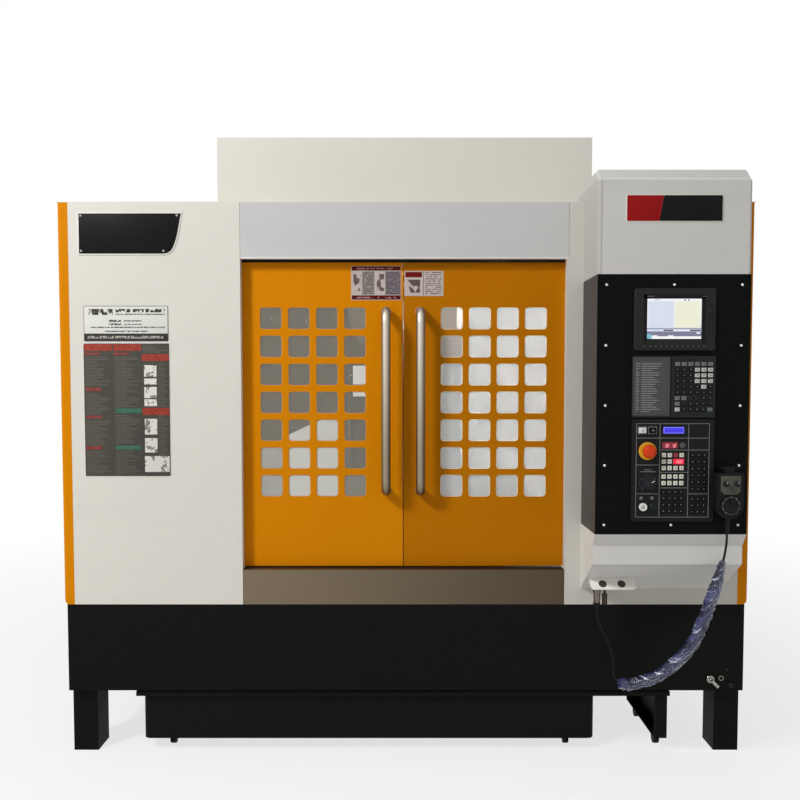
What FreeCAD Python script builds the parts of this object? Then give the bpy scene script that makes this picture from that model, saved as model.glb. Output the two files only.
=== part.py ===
import FreeCAD
import Part

import math
import os

# Vertical machining centre in a folded sheet-metal enclosure. Millimetres, +Z up, the front faces -Y.
# Heights are above the floor. "d" is the distance behind the enclosure's front plane.

# Flats on small turned pieces, on bars and cords, and flats per rounded corner
round_sides = 24
bar_sides = 12
bend_steps = 6
sleeve_sides = 12
cord_sides = 6
corner_steps = 3

# Enclosure
body_width = 2334.0
enclosure_depth = 1695.0
roof_z = 1880.0
panel_bottom_z = 521.0
sheet = 2.0
flange = 20.0
jamb_depth = 32.0
trim_width = 37.0
trim_radius = 12.0
trim_sheet = 2.5
trim_corner = 20.0
panel_gap = 1.0
hood_left_x = -673.0
hood_right_x = 665.0
hood_set_back = 200.0
hood_top_z = 2150.0

# Door opening, header and sill
opening_left_x = -556.0
opening_right_x = 540.0
opening_top_z = 1692.0
header_right_x = 545.0
sill_z = 640.0
sill_depth = 80.0
sill_return = 24.0

# Doors
split_x = -9.0
door_gap = 1.5
door_recess = 35.0
door_pan = 25.0
door_sheet = 2.5
door_lap = 12.0
door_bottom_z = 646.0
window = 75.0
window_radius = 12.0
window_steps = 2
window_pitch = 95.3
window_columns = 4
window_rows = 7
window_offset = 308.0
window_top_z = 1533.0
glass = 6.0
glass_margin = 25.0
handle_offset = 58.0
handle_radius = 14.5
handle_bottom_z = 893.0
handle_length = 639.0
handle_reach = 60.0
handle_bend = 40.0
hanger_width = 80.0
hanger_sheet = 5.0
roller_radius = 18.0
rail_top_z = 1748.0
rail_height = 32.0
rail_sheet = 8.0

# Base tray, frame, tank
apron_bottom_z = 222.0
apron_inset = 1.0
apron_side_inset = 11.0
apron_sheet = 3.0
apron_lip = 25.0
leg_width = 85.0
leg_depth = 100.0
leg_edge = 13.0
leg_sheet = 5.0
frame_tube = 60.0
tank_left_x = -912.0
tank_right_x = 655.0
tank_shelf_x = 910.0
tank_post = 44.0
tank_front_d = 30.0
tank_depth = 350.0
tank_bottom_z = 42.0
tank_top_z = 214.0
tank_sheet = 3.0
tank_lip = 18.0
tank_lip_height = 16.0
tank_corner = 24.0
baffle_inset = 600.0
caster_radius = 20.0
caster_width = 18.0

# Castings
base_half_width = 420.0
base_front_d = 440.0
base_bed_front_d = 236.0
base_rear_inset = 95.0
base_bottom_z = 60.0
base_step_z = 300.0
bed_z = 580.0
bed_half_width = 330.0
channel_half_width = 72.0
channel_depth = 80.0
rib = 30.0
pocket = 170.0
foot_radius = 45.0
foot_height = 22.0
foot_screw_radius = 12.0
column_front_d = 1100.0
column_depth = 460.0
column_half_width = 230.0
column_foot_half_width = 300.0
column_foot_z = 900.0
column_top_z = 1860.0
column_channel_depth = 90.0
z_screw_height = 300.0
z_rail_lift = 320.0
arm_sheet = 25.0
arm_bottom_z = 1600.0
arm_top_z = 1740.0
arm_front_d = 488.0
bridge_sheet = 20.0
turret_motor_width = 70.0
turret_motor_inset = 30.0
turret_motor_length = 160.0
bridge_bottom_z = 1500.0

# Linear rails, ball screws and motors
rail_width = 35.0
rail_depth = 30.0
rail_clear = 0.5
y_rail_x = 230.0
z_rail_x = 155.0
x_rail_half_gap = 130.0
carriage_length = 90.0
carriage_width = 80.0
carriage_gap = 4.0
screw_radius = 16.0
journal_radius = 12.5
screw_bore_clear = 0.5
running_clear = 0.05
bearing_length = 40.0
bearing_housing = 96.0
nut_half_width = 40.0
nut_half_height = 34.0
motor_half_width = 55.0
motor_length = 120.0

# Saddle, table, head, spindle
spindle_d = 600.0
saddle_half_length = 600.0
saddle_half_depth = 190.0
saddle_bottom_z = 622.0
saddle_top_z = 740.0
table_half_length = 475.0
table_carriage_x = 150.0
table_half_depth = 200.0
table_bottom_z = 790.0
table_top_z = 880.0
t_slot_width = 14.0
t_slot_foot = 24.0
t_slot_neck = 14.0
t_slot_deep = 24.0
t_slot_pitch = 125.0
table_gutter = 12.0
head_half_width = 150.0
head_front_d = 525.0
head_gap = 38.0
head_chin_d = 110.0
head_chin_height = 120.0
head_carriage_inset = 60.0
head_carriage_lift = 190.0
head_nut_drop = 150.0
head_bottom_z = 1430.0
head_top_z = 1740.0
nose_radius = 70.0
nose_length = 40.0
spindle_radius = 45.0
spindle_nose_z = 1362.0
spindle_top_z = 1500.0
taper_mouth_radius = 15.9
taper_depth = 48.0
taper_slope = 7.0 / 48.0
draw_bore_radius = 8.0
spindle_motor_half = 95.0
spindle_motor_height = 280.0

# Tool turret
turret_z = 1570.0
turret_radius = 235.0
turret_thickness = 46.0
turret_arm_radius = 275.0
turret_arm_width = 34.0
turret_arm_thickness = 16.0
turret_fork_gap = 16.0
turret_tools = 21
turret_shaft_radius = 30.0
turret_gap = 6.0
turret_bevel = 22.0

# Way covers and chip floor
bellows_half_width = 296.0
bellows_top_z = 706.0
bellows_pleat = 24.0
bellows_drop = 14.0
bellows_sheet = 3.0
bellows_lift = 10.0
floor_edge_z = 660.0
gutter_drop = 100.0
chamber_rear_d = 1062.0
rear_gap_clear = 4.0
rear_lip_clear = 4.0
rear_lip_lift = 24.0

# Operator console
console_left_x = 595.0
console_right_x = 1073.0
console_depth = 200.0
console_top_z = 1944.0
console_chamfer = 40.0
console_cap_d = 70.0
console_cap_end_d = 125.0
plate_bottom_z = 799.0
plate_top_z = 1614.0
plate_sheet = 3.0
plate_radius = 3.0
console_sheet = 3.0
console_edge = 8.0
skirt_step_z = 756.0
skirt_step = 30.0
skirt_knee_z = 697.0
skirt_foot_z = 576.0
plate_screw_radius = 6.0
plate_screw_head = 3.0
plate_screw_side = 211.0
plate_screw_pitch = 188.0
plate_screw_rows = 5
plate_screw_z = 829.0

# Display, keypad and operator panel
display_x = 835.0
display_z = 1473.0
display_width = 253.0
display_height = 193.0
display_thickness = 10.0
display_radius = 8.0
display_bevel = 3.0
screen_x = 833.0
screen_width = 171.0
screen_height = 128.0
screen_recess = 3.0
soft_keys = 12
soft_key_pitch = 16.8
soft_key_z = 1389.5
card_slot_x = 947.0
card_slot_width = 16.0
card_slot_height = 62.0
card_slot_z = 1458.0
keypad_left_x = 705.0
keypad_right_x = 964.0
keypad_bottom_z = 1168.0
keypad_top_z = 1360.0
keypad_thickness = 7.0
keypad_split_x = 825.5
key_columns = 6
key_rows = 9
key_pitch_x = 20.5
key_pitch_z = 17.7
key_width = 15.0
key_height = 11.5
key_rise = 2.5
key_first_x = 845.0
key_top_z = 1335.0
panel_left_x = 705.0
panel_right_x = 963.0
panel_low_z = 841.5
panel_high_z = 1163.0
panel_thickness = 8.0
panel_frame = 4.0
panel_frame_inset = 12.0
panel_recess = 1.5
flat_left_x = 806.5
flat_right_x = 896.0
flat_pitch_x = 18.5
flat_pitch_z = 20.3
side_pitch_z = 21.2
upper_keys_z = 1050.5
middle_keys_z = 983.0
lower_keys_z = 934.5
side_keys_z = 1050.0
corner_keys_z = 912.5
flat_key_half = 6.5
flat_key_depth = 2.0
estop_x = 755.5
estop_z = 1063.0
estop_radius = 21.0
estop_height = 26.0
estop_stem_radius = 11.0
estop_travel = 5.0
knob_x = 757.0
knob_z = 963.0
knob_radius = 22.0
knob_height = 20.0
knob_stem_radius = 6.0
power_x = 738.0
power_pitch = 32.0
power_z = 1128.0
power_width = 22.0
power_height = 17.0
start_x = 743.0
start_z = 887.0
start_radius = 12.5
button_rise = 5.0
button_travel = 3.0
button_clear = 0.4
button_depth = 3.6

# Pendant, connector bracket and cord
pendant_x = 1000.0
pendant_wheel_z = 898.0
pendant_half_width = 42.5
pendant_top_z = 998.0
pendant_corner = 10.0
pendant_gap = 8.0
pendant_thickness = 42.0
pendant_neck_half = 20.0
pendant_lip_height = 5.0
hook_lift = 2.0
hook_height = 11.0
hook_gap = 0.5
pendant_face_top_z = 990.5
pendant_face_bottom_z = 931.5
pendant_face_half = 31.5
hook_sheet = 4.0
wheel_radius = 31.0
wheel_hub_radius = 22.0
wheel_thickness = 12.0
wheel_gap = 1.0
wheel_knob_radius = 6.0
wheel_knob_height = 9.0
wheel_stem_radius = 6.0
knob_stem = 4.0
pendant_knob_radius = 8.5
pendant_knob_height = 19.0
pendant_knob_z = 966.0
pendant_knob_spread = 17.5
relief_length = 55.7
relief_top_radius = 9.0
relief_end_radius = 5.5
bracket_left_x = 608.0
bracket_right_x = 758.0
bracket_fold_z = 628.5
bracket_tilt_width = 42.0
bracket_strip = 40.0
bracket_sheet = 3.0
bracket_hole_radius = 13.5
bracket_hole_inset = 41.0
bracket_hole_pitch = 62.0
bracket_corner = 14.0
plug_x = 630.0
plug_d = -88.0
plug_radius = 11.0
plug_top_z = 597.0
plug_length = 41.0
plug_nut_radius = 13.0
plug_nut_length = 12.0
plug_tail_radius = 5.0
plug_tail_length = 14.0
socket_half = 14.0
spare_socket_pitch = 26.0
spare_socket_radius = 8.5
spare_socket_length = 51.0
spare_neck_radius = 4.0
spare_neck_length = 16.0
cord_radius = 3.5
sleeve_radius = 21.5
sleeve_neck_radius = 9.0
sleeve_neck_length = 30.0
# Points (x, d, z) of the free lead above the sleeve, of the sleeve and of the thin lead up to the plug.
upper_lead = [(1002, -223.4, 804.3), (1002, -223.4, 759), (993, -218, 715)]
sleeve_route = [(993, -218, 715), (979, -209.6, 646.4), (964, -200.5, 586), (944, -188, 514), (916, -176, 440),
                (866, -158, 370), (806, -139, 318), (748, -122, 292), (712, -115, 287)]
lower_lead = [(710.4, -114.7, 298.8), (695.8, -111.9, 296.8), (683.9, -109.5, 308.7), (683, -108, 329.7),
              (682.5, -104, 362), (676, -99, 400), (655, -93, 446), (630, -88, 498), (630, -88, 530)]

# Rear electrical cabinet, lamp, air fittings
cabinet_half_width = 500.0
cabinet_bottom_z = 560.0
cabinet_top_z = 1780.0
cabinet_depth = 300.0
cabinet_sheet = 2.5
cabinet_door_sheet = 20.0
cabinet_door_gap = 1.0
latch_reach = 10.0
vent_inset = 295.0
vent_length = 220.0
vent_height = 8.0
vent_lift = 20.0
drive_inset = 140.0
drive_drop = 200.0
duct_inset = 100.0
duct_lift = 300.0
duct_size = 60.0
hinge_radius = 7.0
hinge_length = 40.0
hinge_inset = 150.0
hinge_gap = 0.5
hinge_sheet = 3.0
drive_width = 90.0
drive_height = 320.0
drive_depth = 190.0
drive_count = 4
lamp_left_x = 180.0
lamp_right_x = 820.0
lamp_d = 130.0
lamp_depth = 60.0
lamp_height = 34.0
lamp_drop = 26.0
valve_inset = 127.0
valve_z = 265.0
valve_radius = 12.0
valve_bore = 8.0
valve_length = 16.0
valve_floor = 5.0
valve_pin_radius = 3.0
elbow_start = 8.0
elbow_length = 32.0
elbow_radius = 6.0
port_offset_x = 38.0
port_offset_z = 2.0
port_radius = 8.5
port_bore = 5.5
port_length = 8.0
hose_port_offset_x = 74.0
hose_port_offset_z = -24.0
hose_port_radius = 8.0
hose_port_length = 14.0
tray_screw_offset_x = 62.0
tray_screw_offset_z = 29.0
tray_screw_radius = 3.5

# Values that follow
rear_reach = enclosure_depth + cabinet_depth + cabinet_door_gap + cabinet_door_sheet + latch_reach
front_reach = console_depth + pendant_gap + pendant_thickness + wheel_gap + wheel_thickness + wheel_knob_height
y_front = (front_reach - rear_reach) / 2
half_width = body_width / 2
base_rear_d = enclosure_depth - base_rear_inset
valve_x = half_width - valve_inset
apron_top_z = panel_bottom_z
bellows_front_d = sill_depth + sheet
bellows_rear_d = column_front_d
floor_inner_z = bed_z
floor_inner_x = bed_half_width
rear_gap_half_width = bellows_half_width + rear_gap_clear
panel_top_z = roof_z - sheet
panel_x = half_width - trim_width
door_face_d = door_recess
door_back_d = door_recess + door_pan
door_top_z = opening_top_z + door_lap
window_low_z = window_top_z - window - (window_rows - 1) * window_pitch
plate_x = (console_left_x + console_right_x) / 2
plate_d = -console_depth
panel_front_d = plate_d - panel_thickness
pendant_back_d = plate_d - pendant_gap
pendant_front_d = pendant_back_d - pendant_thickness
y_screw_z = bed_z - channel_depth / 2
x_screw_z = saddle_top_z - 24.0
z_screw_d = column_front_d + column_channel_depth / 2
head_back_d = column_front_d - head_gap
hook_z = pendant_top_z + hook_lift
pendant_lip_z = hook_z + hook_height + hook_gap
saddle_front_d = spindle_d - saddle_half_depth
saddle_rear_d = spindle_d + saddle_half_depth
rail_line_d = door_back_d + hanger_sheet + 2.0
z_screw_low_z = bed_z + z_screw_height


def V(x, d, z):
    return FreeCAD.Vector(x, y_front + d, z)


X_AXIS = FreeCAD.Vector(1, 0, 0)
Y_AXIS = FreeCAD.Vector(0, 1, 0)
Z_AXIS = FreeCAD.Vector(0, 0, 1)


def block(x0, x1, d0, d1, z0, z1):
    return Part.makeBox(x1 - x0, d1 - d0, z1 - z0, V(x0, d0, z0))


def ring(centre, axis, radius, sides):
    """Corners of a regular outline around an axis."""
    across = Z_AXIS if abs(axis.z) < 0.9 * axis.Length else X_AXIS
    side = axis.cross(across).normalize()
    across = side.cross(axis).normalize()
    points = []
    for k in range(sides):
        angle = 2 * math.pi * (k + 0.5) / sides
        points.append(centre + across * (radius * math.cos(angle)) + side * (radius * math.sin(angle)))
    return points


def skin(rings):
    """Closed solid of flats through matching outlines, capped at both ends."""
    faces = [Part.Face(Part.makePolygon(end + end[:1])) for end in (rings[0], rings[-1])]
    for low, high in zip(rings, rings[1:]):
        for k in range(len(low)):
            n = (k + 1) % len(low)
            faces.append(Part.Face(Part.makePolygon([low[k], low[n], high[n], high[k], low[k]])))
    shell = Part.makeShell(faces)
    shell.sewShape()
    solid = Part.makeSolid(shell)
    if solid.Volume < 0:
        solid.reverse()
    return solid


def turned(start, axis, profile, sides=round_sides):
    """A turned piece built of flats; profile lists (distance along the axis, radius)."""
    return skin([ring(start + axis * along, axis, radius, sides) for along, radius in profile])


def bent_bar(x, path, radius, sides):
    """A round bar bent in a plane across X, as flats that are mitred at each (d, z) of its path."""
    at = [V(x, d, z) for d, z in path]
    steps = [(b - a).normalize() for a, b in zip(at, at[1:])]
    rings = []
    for here, u, v in zip(at, steps[:1] + steps, steps + steps[-1:]):
        along = (u + v).normalize()
        up = along.cross(X_AXIS) * (1 / along.dot(u))
        angles = [2 * math.pi * (k + 0.5) / sides for k in range(sides)]
        rings.append([here + X_AXIS * (radius * math.cos(a)) + up * (radius * math.sin(a)) for a in angles])
    return skin(rings)


def rod_x(x0, x1, d, z, radius, sides=round_sides):
    return turned(V(x0, d, z), X_AXIS, [(0, radius), (x1 - x0, radius)], sides)


def rod_y(x, d0, d1, z, radius, sides=round_sides):
    return turned(V(x, d0, z), Y_AXIS, [(0, radius), (d1 - d0, radius)], sides)


def rod_z(x, d, z0, z1, radius, sides=round_sides):
    return turned(V(x, d, z0), Z_AXIS, [(0, radius), (z1 - z0, radius)], sides)


def around(radius, sides=round_sides):
    """Radius of a hole of flats that clears a round of this radius."""
    return radius / math.cos(math.pi / sides)


journal_hole = around(journal_radius + running_clear, bar_sides)
screw_hole = around(screw_radius + screw_bore_clear, bar_sides)


def prism_x(profile, x0, x1):
    """Extrudes a (d, z) outline from x0 to x1."""
    face = Part.Face(Part.makePolygon([V(x0, d, z) for d, z in profile + profile[:1]]))
    return face.extrude(FreeCAD.Vector(x1 - x0, 0, 0))


def prism_y(profile, d0, d1):
    """Extrudes an (x, z) outline from d0 to d1."""
    face = Part.Face(Part.makePolygon([V(x, d0, z) for x, z in profile + profile[:1]]))
    return face.extrude(FreeCAD.Vector(0, d1 - d0, 0))


def prism_z(profile, z0, z1):
    """Extrudes an (x, d) outline from z0 to z1."""
    face = Part.Face(Part.makePolygon([V(x, d, z0) for x, d in profile + profile[:1]]))
    return face.extrude(FreeCAD.Vector(0, 0, z1 - z0))


def rounded_outline(x0, x1, z0, z1, radius, steps=corner_steps):
    """A rectangle's outline with its corners rounded in equal steps."""
    points = []
    corners = [(x1 - radius, z1 - radius), (x0 + radius, z1 - radius), (x0 + radius, z0 + radius),
               (x1 - radius, z0 + radius)]
    for quarter, (x, z) in enumerate(corners):
        for k in range(steps + 1):
            angle = math.pi / 2 * (quarter + k / steps)
            points.append((x + radius * math.cos(angle), z + radius * math.sin(angle)))
    return points


def rounded_y(x0, x1, z0, z1, d0, d1, radius, steps=corner_steps):
    """A plate in the front plane with rounded corners."""
    return prism_y(rounded_outline(x0, x1, z0, z1, radius, steps), d0, d1)


def bevelled_y(x0, x1, z0, z1, d0, d1, radius, bevel):
    """A moulded plate with rounded corners and a bevel round its front face."""
    full = rounded_outline(x0, x1, z0, z1, radius)
    small = rounded_outline(x0 + bevel, x1 - bevel, z0 + bevel, z1 - bevel, radius - bevel)
    return skin([[V(x, d, z) for x, z in outline]
                 for d, outline in ((d0, small), (d0 + bevel, full), (d1, full))])


def pan(x0, x1, d0, z0, z1, deep, wall, edge):
    """A folded sheet: a face at d0 and four flanges that run back from it; edge is the top flange's depth."""
    outer = block(x0, x1, d0, d0 + deep, z0, z1)
    inner = block(x0 + wall, x1 - wall, d0 + wall, d0 + deep, z0 + wall, z1 - wall)
    folded = outer.cut(inner)
    trims = []
    if edge < deep:
        trims.append(block(x0 + wall, x1 - wall, d0 + edge, d0 + deep, z0, z0 + wall))
        trims.append(block(x0 + wall, x1 - wall, d0 + edge, d0 + deep, z1 - wall, z1))
    return folded.cut(trims) if trims else folded


def group(solids):
    return Part.makeCompound(solids)


def fused(first, others):
    whole = first.fuse(others)
    return whole.removeSplitter()


def carriage(x, d, z, along, up):
    """A rail carriage's block with the rail's channel; along is the rail's axis and up points off the rail."""
    half_w = carriage_width / 2
    half_l = carriage_length / 2
    rail_half = rail_width / 2 + rail_clear
    if along == "y":
        body = block(x - half_w, x + half_w, d - half_l, d + half_l, z + carriage_gap, up)
        return body.cut(block(x - rail_half, x + rail_half, d - half_l, d + half_l, z, z + rail_depth + rail_clear))
    if along == "x":
        body = block(x - half_l, x + half_l, d - half_w, d + half_w, z + carriage_gap, up)
        return body.cut(block(x - half_l, x + half_l, d - rail_half, d + rail_half, z, z + rail_depth + rail_clear))
    body = block(x - half_w, x + half_w, up, d - carriage_gap, z - half_l, z + half_l)
    return body.cut(block(x - rail_half, x + rail_half, d - rail_depth - rail_clear, d, z - half_l, z + half_l))


# ---------------------------------------------------------------- enclosure

def front_panel_left():
    return pan(-panel_x, opening_left_x, 0, panel_bottom_z, panel_top_z, jamb_depth, sheet, flange)


def header_panel():
    left = opening_left_x + panel_gap
    return pan(left, header_right_x, 0, opening_top_z, panel_top_z, flange, sheet, flange)


def front_panel_right():
    left = opening_right_x
    step = header_right_x + panel_gap
    outline = [(left, panel_bottom_z), (panel_x, panel_bottom_z), (panel_x, panel_top_z),
               (step, panel_top_z), (step, opening_top_z), (left, opening_top_z)]
    inside = [(left + sheet, panel_bottom_z + sheet), (panel_x - sheet, panel_bottom_z + sheet),
              (panel_x - sheet, panel_top_z - sheet), (step + sheet, panel_top_z - sheet),
              (step + sheet, opening_top_z - sheet), (left + sheet, opening_top_z - sheet)]
    return prism_y(outline, 0, jamb_depth).cut(prism_y(inside, sheet, jamb_depth))


def corner_strip(side):
    """Angle trim on a front corner, with a round outer edge and a rounded lower end."""
    x1 = half_width
    x0 = half_width - trim_width
    low = panel_bottom_z
    high = panel_top_z
    rest = 2 * trim_radius
    bar = prism_z(rounded_outline(x0 - rest, x1, 0, trim_width + rest, trim_radius), low, high)
    hollow = prism_z(rounded_outline(x0 - rest, x1 - trim_sheet, trim_sheet, trim_width + 2 * rest,
                                     trim_radius - trim_sheet), low, high)
    angle = bar.cut(hollow).common(block(x0, x1, 0, trim_width, low, high))
    angle = angle.common(rounded_y(x0 - trim_corner, x1, low, high + trim_corner, 0, trim_width, trim_corner))
    if side < 0:
        angle = angle.mirror(FreeCAD.Vector(0, 0, 0), X_AXIS)
    return angle


def side_panel(side):
    """Side skin with inward flanges on all four edges."""
    x0 = half_width - flange
    z0 = panel_bottom_z
    d0 = trim_width + panel_gap
    d1 = enclosure_depth - sheet
    skin = block(x0, half_width, d0, d1, z0, panel_top_z)
    skin = skin.cut(block(x0, half_width - sheet, d0 + sheet, d1 - sheet, z0 + sheet, panel_top_z - sheet))
    if side < 0:
        skin = skin.mirror(FreeCAD.Vector(0, 0, 0), X_AXIS)
    return skin


def roof_panel():
    low = panel_top_z
    left = block(-half_width, hood_left_x, 0, enclosure_depth, low, roof_z)
    right = block(hood_right_x, half_width, 0, enclosure_depth, low, roof_z)
    front = block(hood_left_x, hood_right_x, 0, hood_set_back, low, roof_z)
    return group([left, right, front])


def top_hood():
    """Raised hood over the head and the column: three wall sheets, a rear wall and a lid."""
    d0 = hood_set_back
    d1 = enclosure_depth
    lid_z = hood_top_z - sheet
    inner = sheet
    front = block(hood_left_x, hood_right_x, d0, d0 + sheet, roof_z, lid_z)
    front = front.fuse(block(hood_left_x, hood_right_x, d0 + inner, d0 + flange, lid_z - sheet, lid_z))
    left = block(hood_left_x, hood_left_x + sheet, d0 + sheet, d1 - sheet, roof_z, lid_z - sheet)
    right = block(hood_right_x - sheet, hood_right_x, d0 + sheet, d1 - sheet, roof_z, lid_z - sheet)
    rear = block(hood_left_x, hood_right_x, d1 - sheet, d1, roof_z, lid_z)
    lid = block(hood_left_x, hood_right_x, d0, d1, lid_z, hood_top_z)
    return group([front.removeSplitter(), left, right, rear, lid])


def rear_panel():
    lower = block(-half_width, half_width, enclosure_depth - sheet, enclosure_depth, panel_bottom_z, panel_top_z)
    vent_z = cabinet_top_z + vent_lift
    vent_x = half_width - vent_inset
    slots = [block(x, x + vent_length, enclosure_depth - sheet, enclosure_depth, vent_z, vent_z + vent_height)
             for x in (-vent_x, vent_x - vent_length)]
    return lower.cut(slots)


def steel_skirt():
    """Brushed sill: front face, ledge under the doors and a rear return."""
    left = opening_left_x + panel_gap
    right = opening_right_x - panel_gap
    low = panel_bottom_z
    profile = [(0, low), (sheet, low), (sheet, sill_z - sheet), (sill_depth - sheet, sill_z - sheet),
               (sill_depth - sheet, sill_z - sill_return), (sill_depth, sill_z - sill_return),
               (sill_depth, sill_z), (0, sill_z)]
    return prism_x(profile, left, right)


def base_apron():
    """Black tray skirt: an angle-section sheet on each side, lipped inwards at the bottom."""
    half = half_width - apron_side_inset
    d0 = apron_inset
    d1 = enclosure_depth - apron_inset
    low = apron_bottom_z
    top = apron_top_z
    t = apron_sheet
    front = block(-half, half, d0, d0 + t, low, top)
    front = front.fuse(block(-half, half, d0 + t, d0 + apron_lip, low, low + t)).removeSplitter()
    rear = block(-half, half, d1 - t, d1, low, top)
    rear = rear.fuse(block(-half, half, d1 - apron_lip, d1 - t, low, low + t)).removeSplitter()
    right = block(half - t, half, d0 + apron_lip, d1 - apron_lip, low, top)
    right = right.fuse(block(half - apron_lip, half - t, d0 + apron_lip, d1 - apron_lip, low, low + t))
    right = right.removeSplitter()
    left = right.mirror(FreeCAD.Vector(0, 0, 0), X_AXIS)
    return group([front, rear, right, left])


def base_frame():
    """Four box legs at the corners and the tubes that carry the tray from the casting."""
    outer = half_width - leg_edge
    solids = []
    for side in (-1, 1):
        for d0 in (apron_lip + 6, enclosure_depth - apron_lip - 6 - leg_depth):
            x0 = outer - leg_width
            leg = block(x0, outer, d0, d0 + leg_depth, 0, apron_bottom_z)
            hollow = block(x0 + leg_sheet, outer - leg_sheet, d0 + leg_sheet, d0 + leg_depth - leg_sheet,
                           leg_sheet, apron_bottom_z - leg_sheet)
            leg = leg.cut(hollow)
            solids.append(leg if side > 0 else leg.mirror(FreeCAD.Vector(0, 0, 0), X_AXIS))
        z0 = apron_bottom_z + apron_sheet
        x1 = half_width - apron_lip - apron_side_inset
        long_tube = block(x1 - frame_tube, x1, apron_lip + 6, enclosure_depth - apron_lip - 6, z0, z0 + frame_tube)
        foot = block(x1 - frame_tube, x1, apron_lip + 6, enclosure_depth - apron_lip - 6, apron_bottom_z, z0)
        long_tube = long_tube.fuse(foot).removeSplitter()
        solids.append(long_tube if side > 0 else long_tube.mirror(FreeCAD.Vector(0, 0, 0), X_AXIS))
        for d0 in (base_front_d + 60, base_rear_d - 140):
            cross = block(base_half_width, x1 - frame_tube, d0, d0 + frame_tube, z0, z0 + frame_tube)
            solids.append(cross if side > 0 else cross.mirror(FreeCAD.Vector(0, 0, 0), X_AXIS))
    return group(solids)


def chamber_liner():
    """Rear chamber walls beside the column, sloping chip floors and the front gutter plate."""
    t = sheet
    wall_x = half_width - flange - panel_gap
    lip_x = column_half_width + arm_sheet + rear_lip_clear
    lip_z = bellows_top_z + rear_lip_lift
    rear = []
    for side in (-1, 1):
        wall = block(rear_gap_half_width, wall_x, chamber_rear_d, chamber_rear_d + t, floor_inner_z, panel_top_z - t)
        low_fold = block(rear_gap_half_width, rear_gap_half_width + t, chamber_rear_d + t, chamber_rear_d + flange,
                         floor_inner_z, lip_z)
        lip = block(lip_x, rear_gap_half_width, chamber_rear_d, chamber_rear_d + t, lip_z, panel_top_z - t)
        lip_fold = block(lip_x, lip_x + t, chamber_rear_d + t, chamber_rear_d + flange, lip_z, panel_top_z - t)
        wall = fused(wall, [low_fold, lip, lip_fold])
        rear.append(wall if side > 0 else wall.mirror(FreeCAD.Vector(0, 0, 0), X_AXIS))
        slope = [(floor_inner_x, floor_inner_z), (wall_x, floor_edge_z), (wall_x, floor_edge_z - t),
                 (floor_inner_x, floor_inner_z - t)]
        if side < 0:
            slope = [(-x, z) for x, z in slope]
        rear.append(prism_y(slope, bellows_front_d, chamber_rear_d))
    gutter = block(-floor_inner_x, floor_inner_x, sill_depth, bellows_front_d, floor_inner_z - gutter_drop,
                   bellows_top_z)
    return group(rear + [gutter])


# ---------------------------------------------------------------- doors

def door_span(side):
    if side < 0:
        return opening_left_x - door_lap, split_x - door_gap
    return split_x + door_gap, opening_right_x + door_lap


def window_grid(side):
    middle = split_x + side * window_offset
    first = middle - (window_columns - 1) / 2 * window_pitch
    return [(first + i * window_pitch - window / 2, window_low_z + k * window_pitch)
            for i in range(window_columns) for k in range(window_rows)]


def door_panel(side):
    """Folded door with its grid of windows; the two hangers and their rollers are welded on."""
    x0, x1 = door_span(side)
    leaf = pan(x0, x1, door_face_d, door_bottom_z, door_top_z, door_pan, door_sheet, door_pan)
    cuts = [rounded_y(x, x + window, z, z + window, door_face_d, door_face_d + door_sheet, window_radius)
            for x, z in window_grid(side)]
    leaf = leaf.cut(cuts)
    hangers = []
    for x in (x0 + 60, x1 - 60 - hanger_width):
        plate_top = rail_top_z + 2 * roller_radius
        plate = block(x, x + hanger_width, door_back_d, door_back_d + hanger_sheet, door_top_z - 80, plate_top)
        foot = block(x, x + hanger_width, door_face_d + door_sheet, door_back_d, door_top_z - 30, door_top_z - 10)
        roller = rod_y(x + hanger_width / 2, door_back_d + hanger_sheet, rail_line_d + rail_sheet,
                       rail_top_z + roller_radius + rail_clear, roller_radius, bar_sides)
        hangers += [plate, foot, roller]
    return fused(leaf, hangers)


def door_glass(side):
    grid = window_grid(side)
    x0 = min(x for x, z in grid) - glass_margin
    x1 = max(x for x, z in grid) + window + glass_margin
    z0 = window_low_z - glass_margin
    z1 = window_top_z + glass_margin
    d0 = door_face_d + door_sheet
    return block(x0, x1, d0, d0 + glass, z0, z1)


def door_handle(side):
    """Round bar bent back at both ends onto the door."""
    out = door_face_d - handle_reach + handle_bend
    low = handle_bottom_z + handle_radius
    high = handle_bottom_z + handle_length - handle_radius
    path = [(door_face_d, low)]
    for k in range(bend_steps + 1):
        angle = math.pi / 2 * k / bend_steps
        path.append((out - handle_bend * math.sin(angle), low + handle_bend * (1 - math.cos(angle))))
    path += [(d, low + high - z) for d, z in path[::-1]]
    return bent_bar(split_x + side * handle_offset, path, handle_radius, bar_sides)


def door_rail():
    d0 = rail_line_d
    end = half_width - flange - 2 * panel_gap
    rail = block(-end, end, d0, d0 + rail_sheet, rail_top_z - rail_height, rail_top_z)
    for x in (-end, -20, end - 40):
        d1 = d0 + rail_sheet
        rail = rail.fuse(block(x, x + 40, d1, d1 + 6, rail_top_z - rail_height, panel_top_z))
    return rail.removeSplitter()


# ---------------------------------------------------------------- castings and axes

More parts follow.
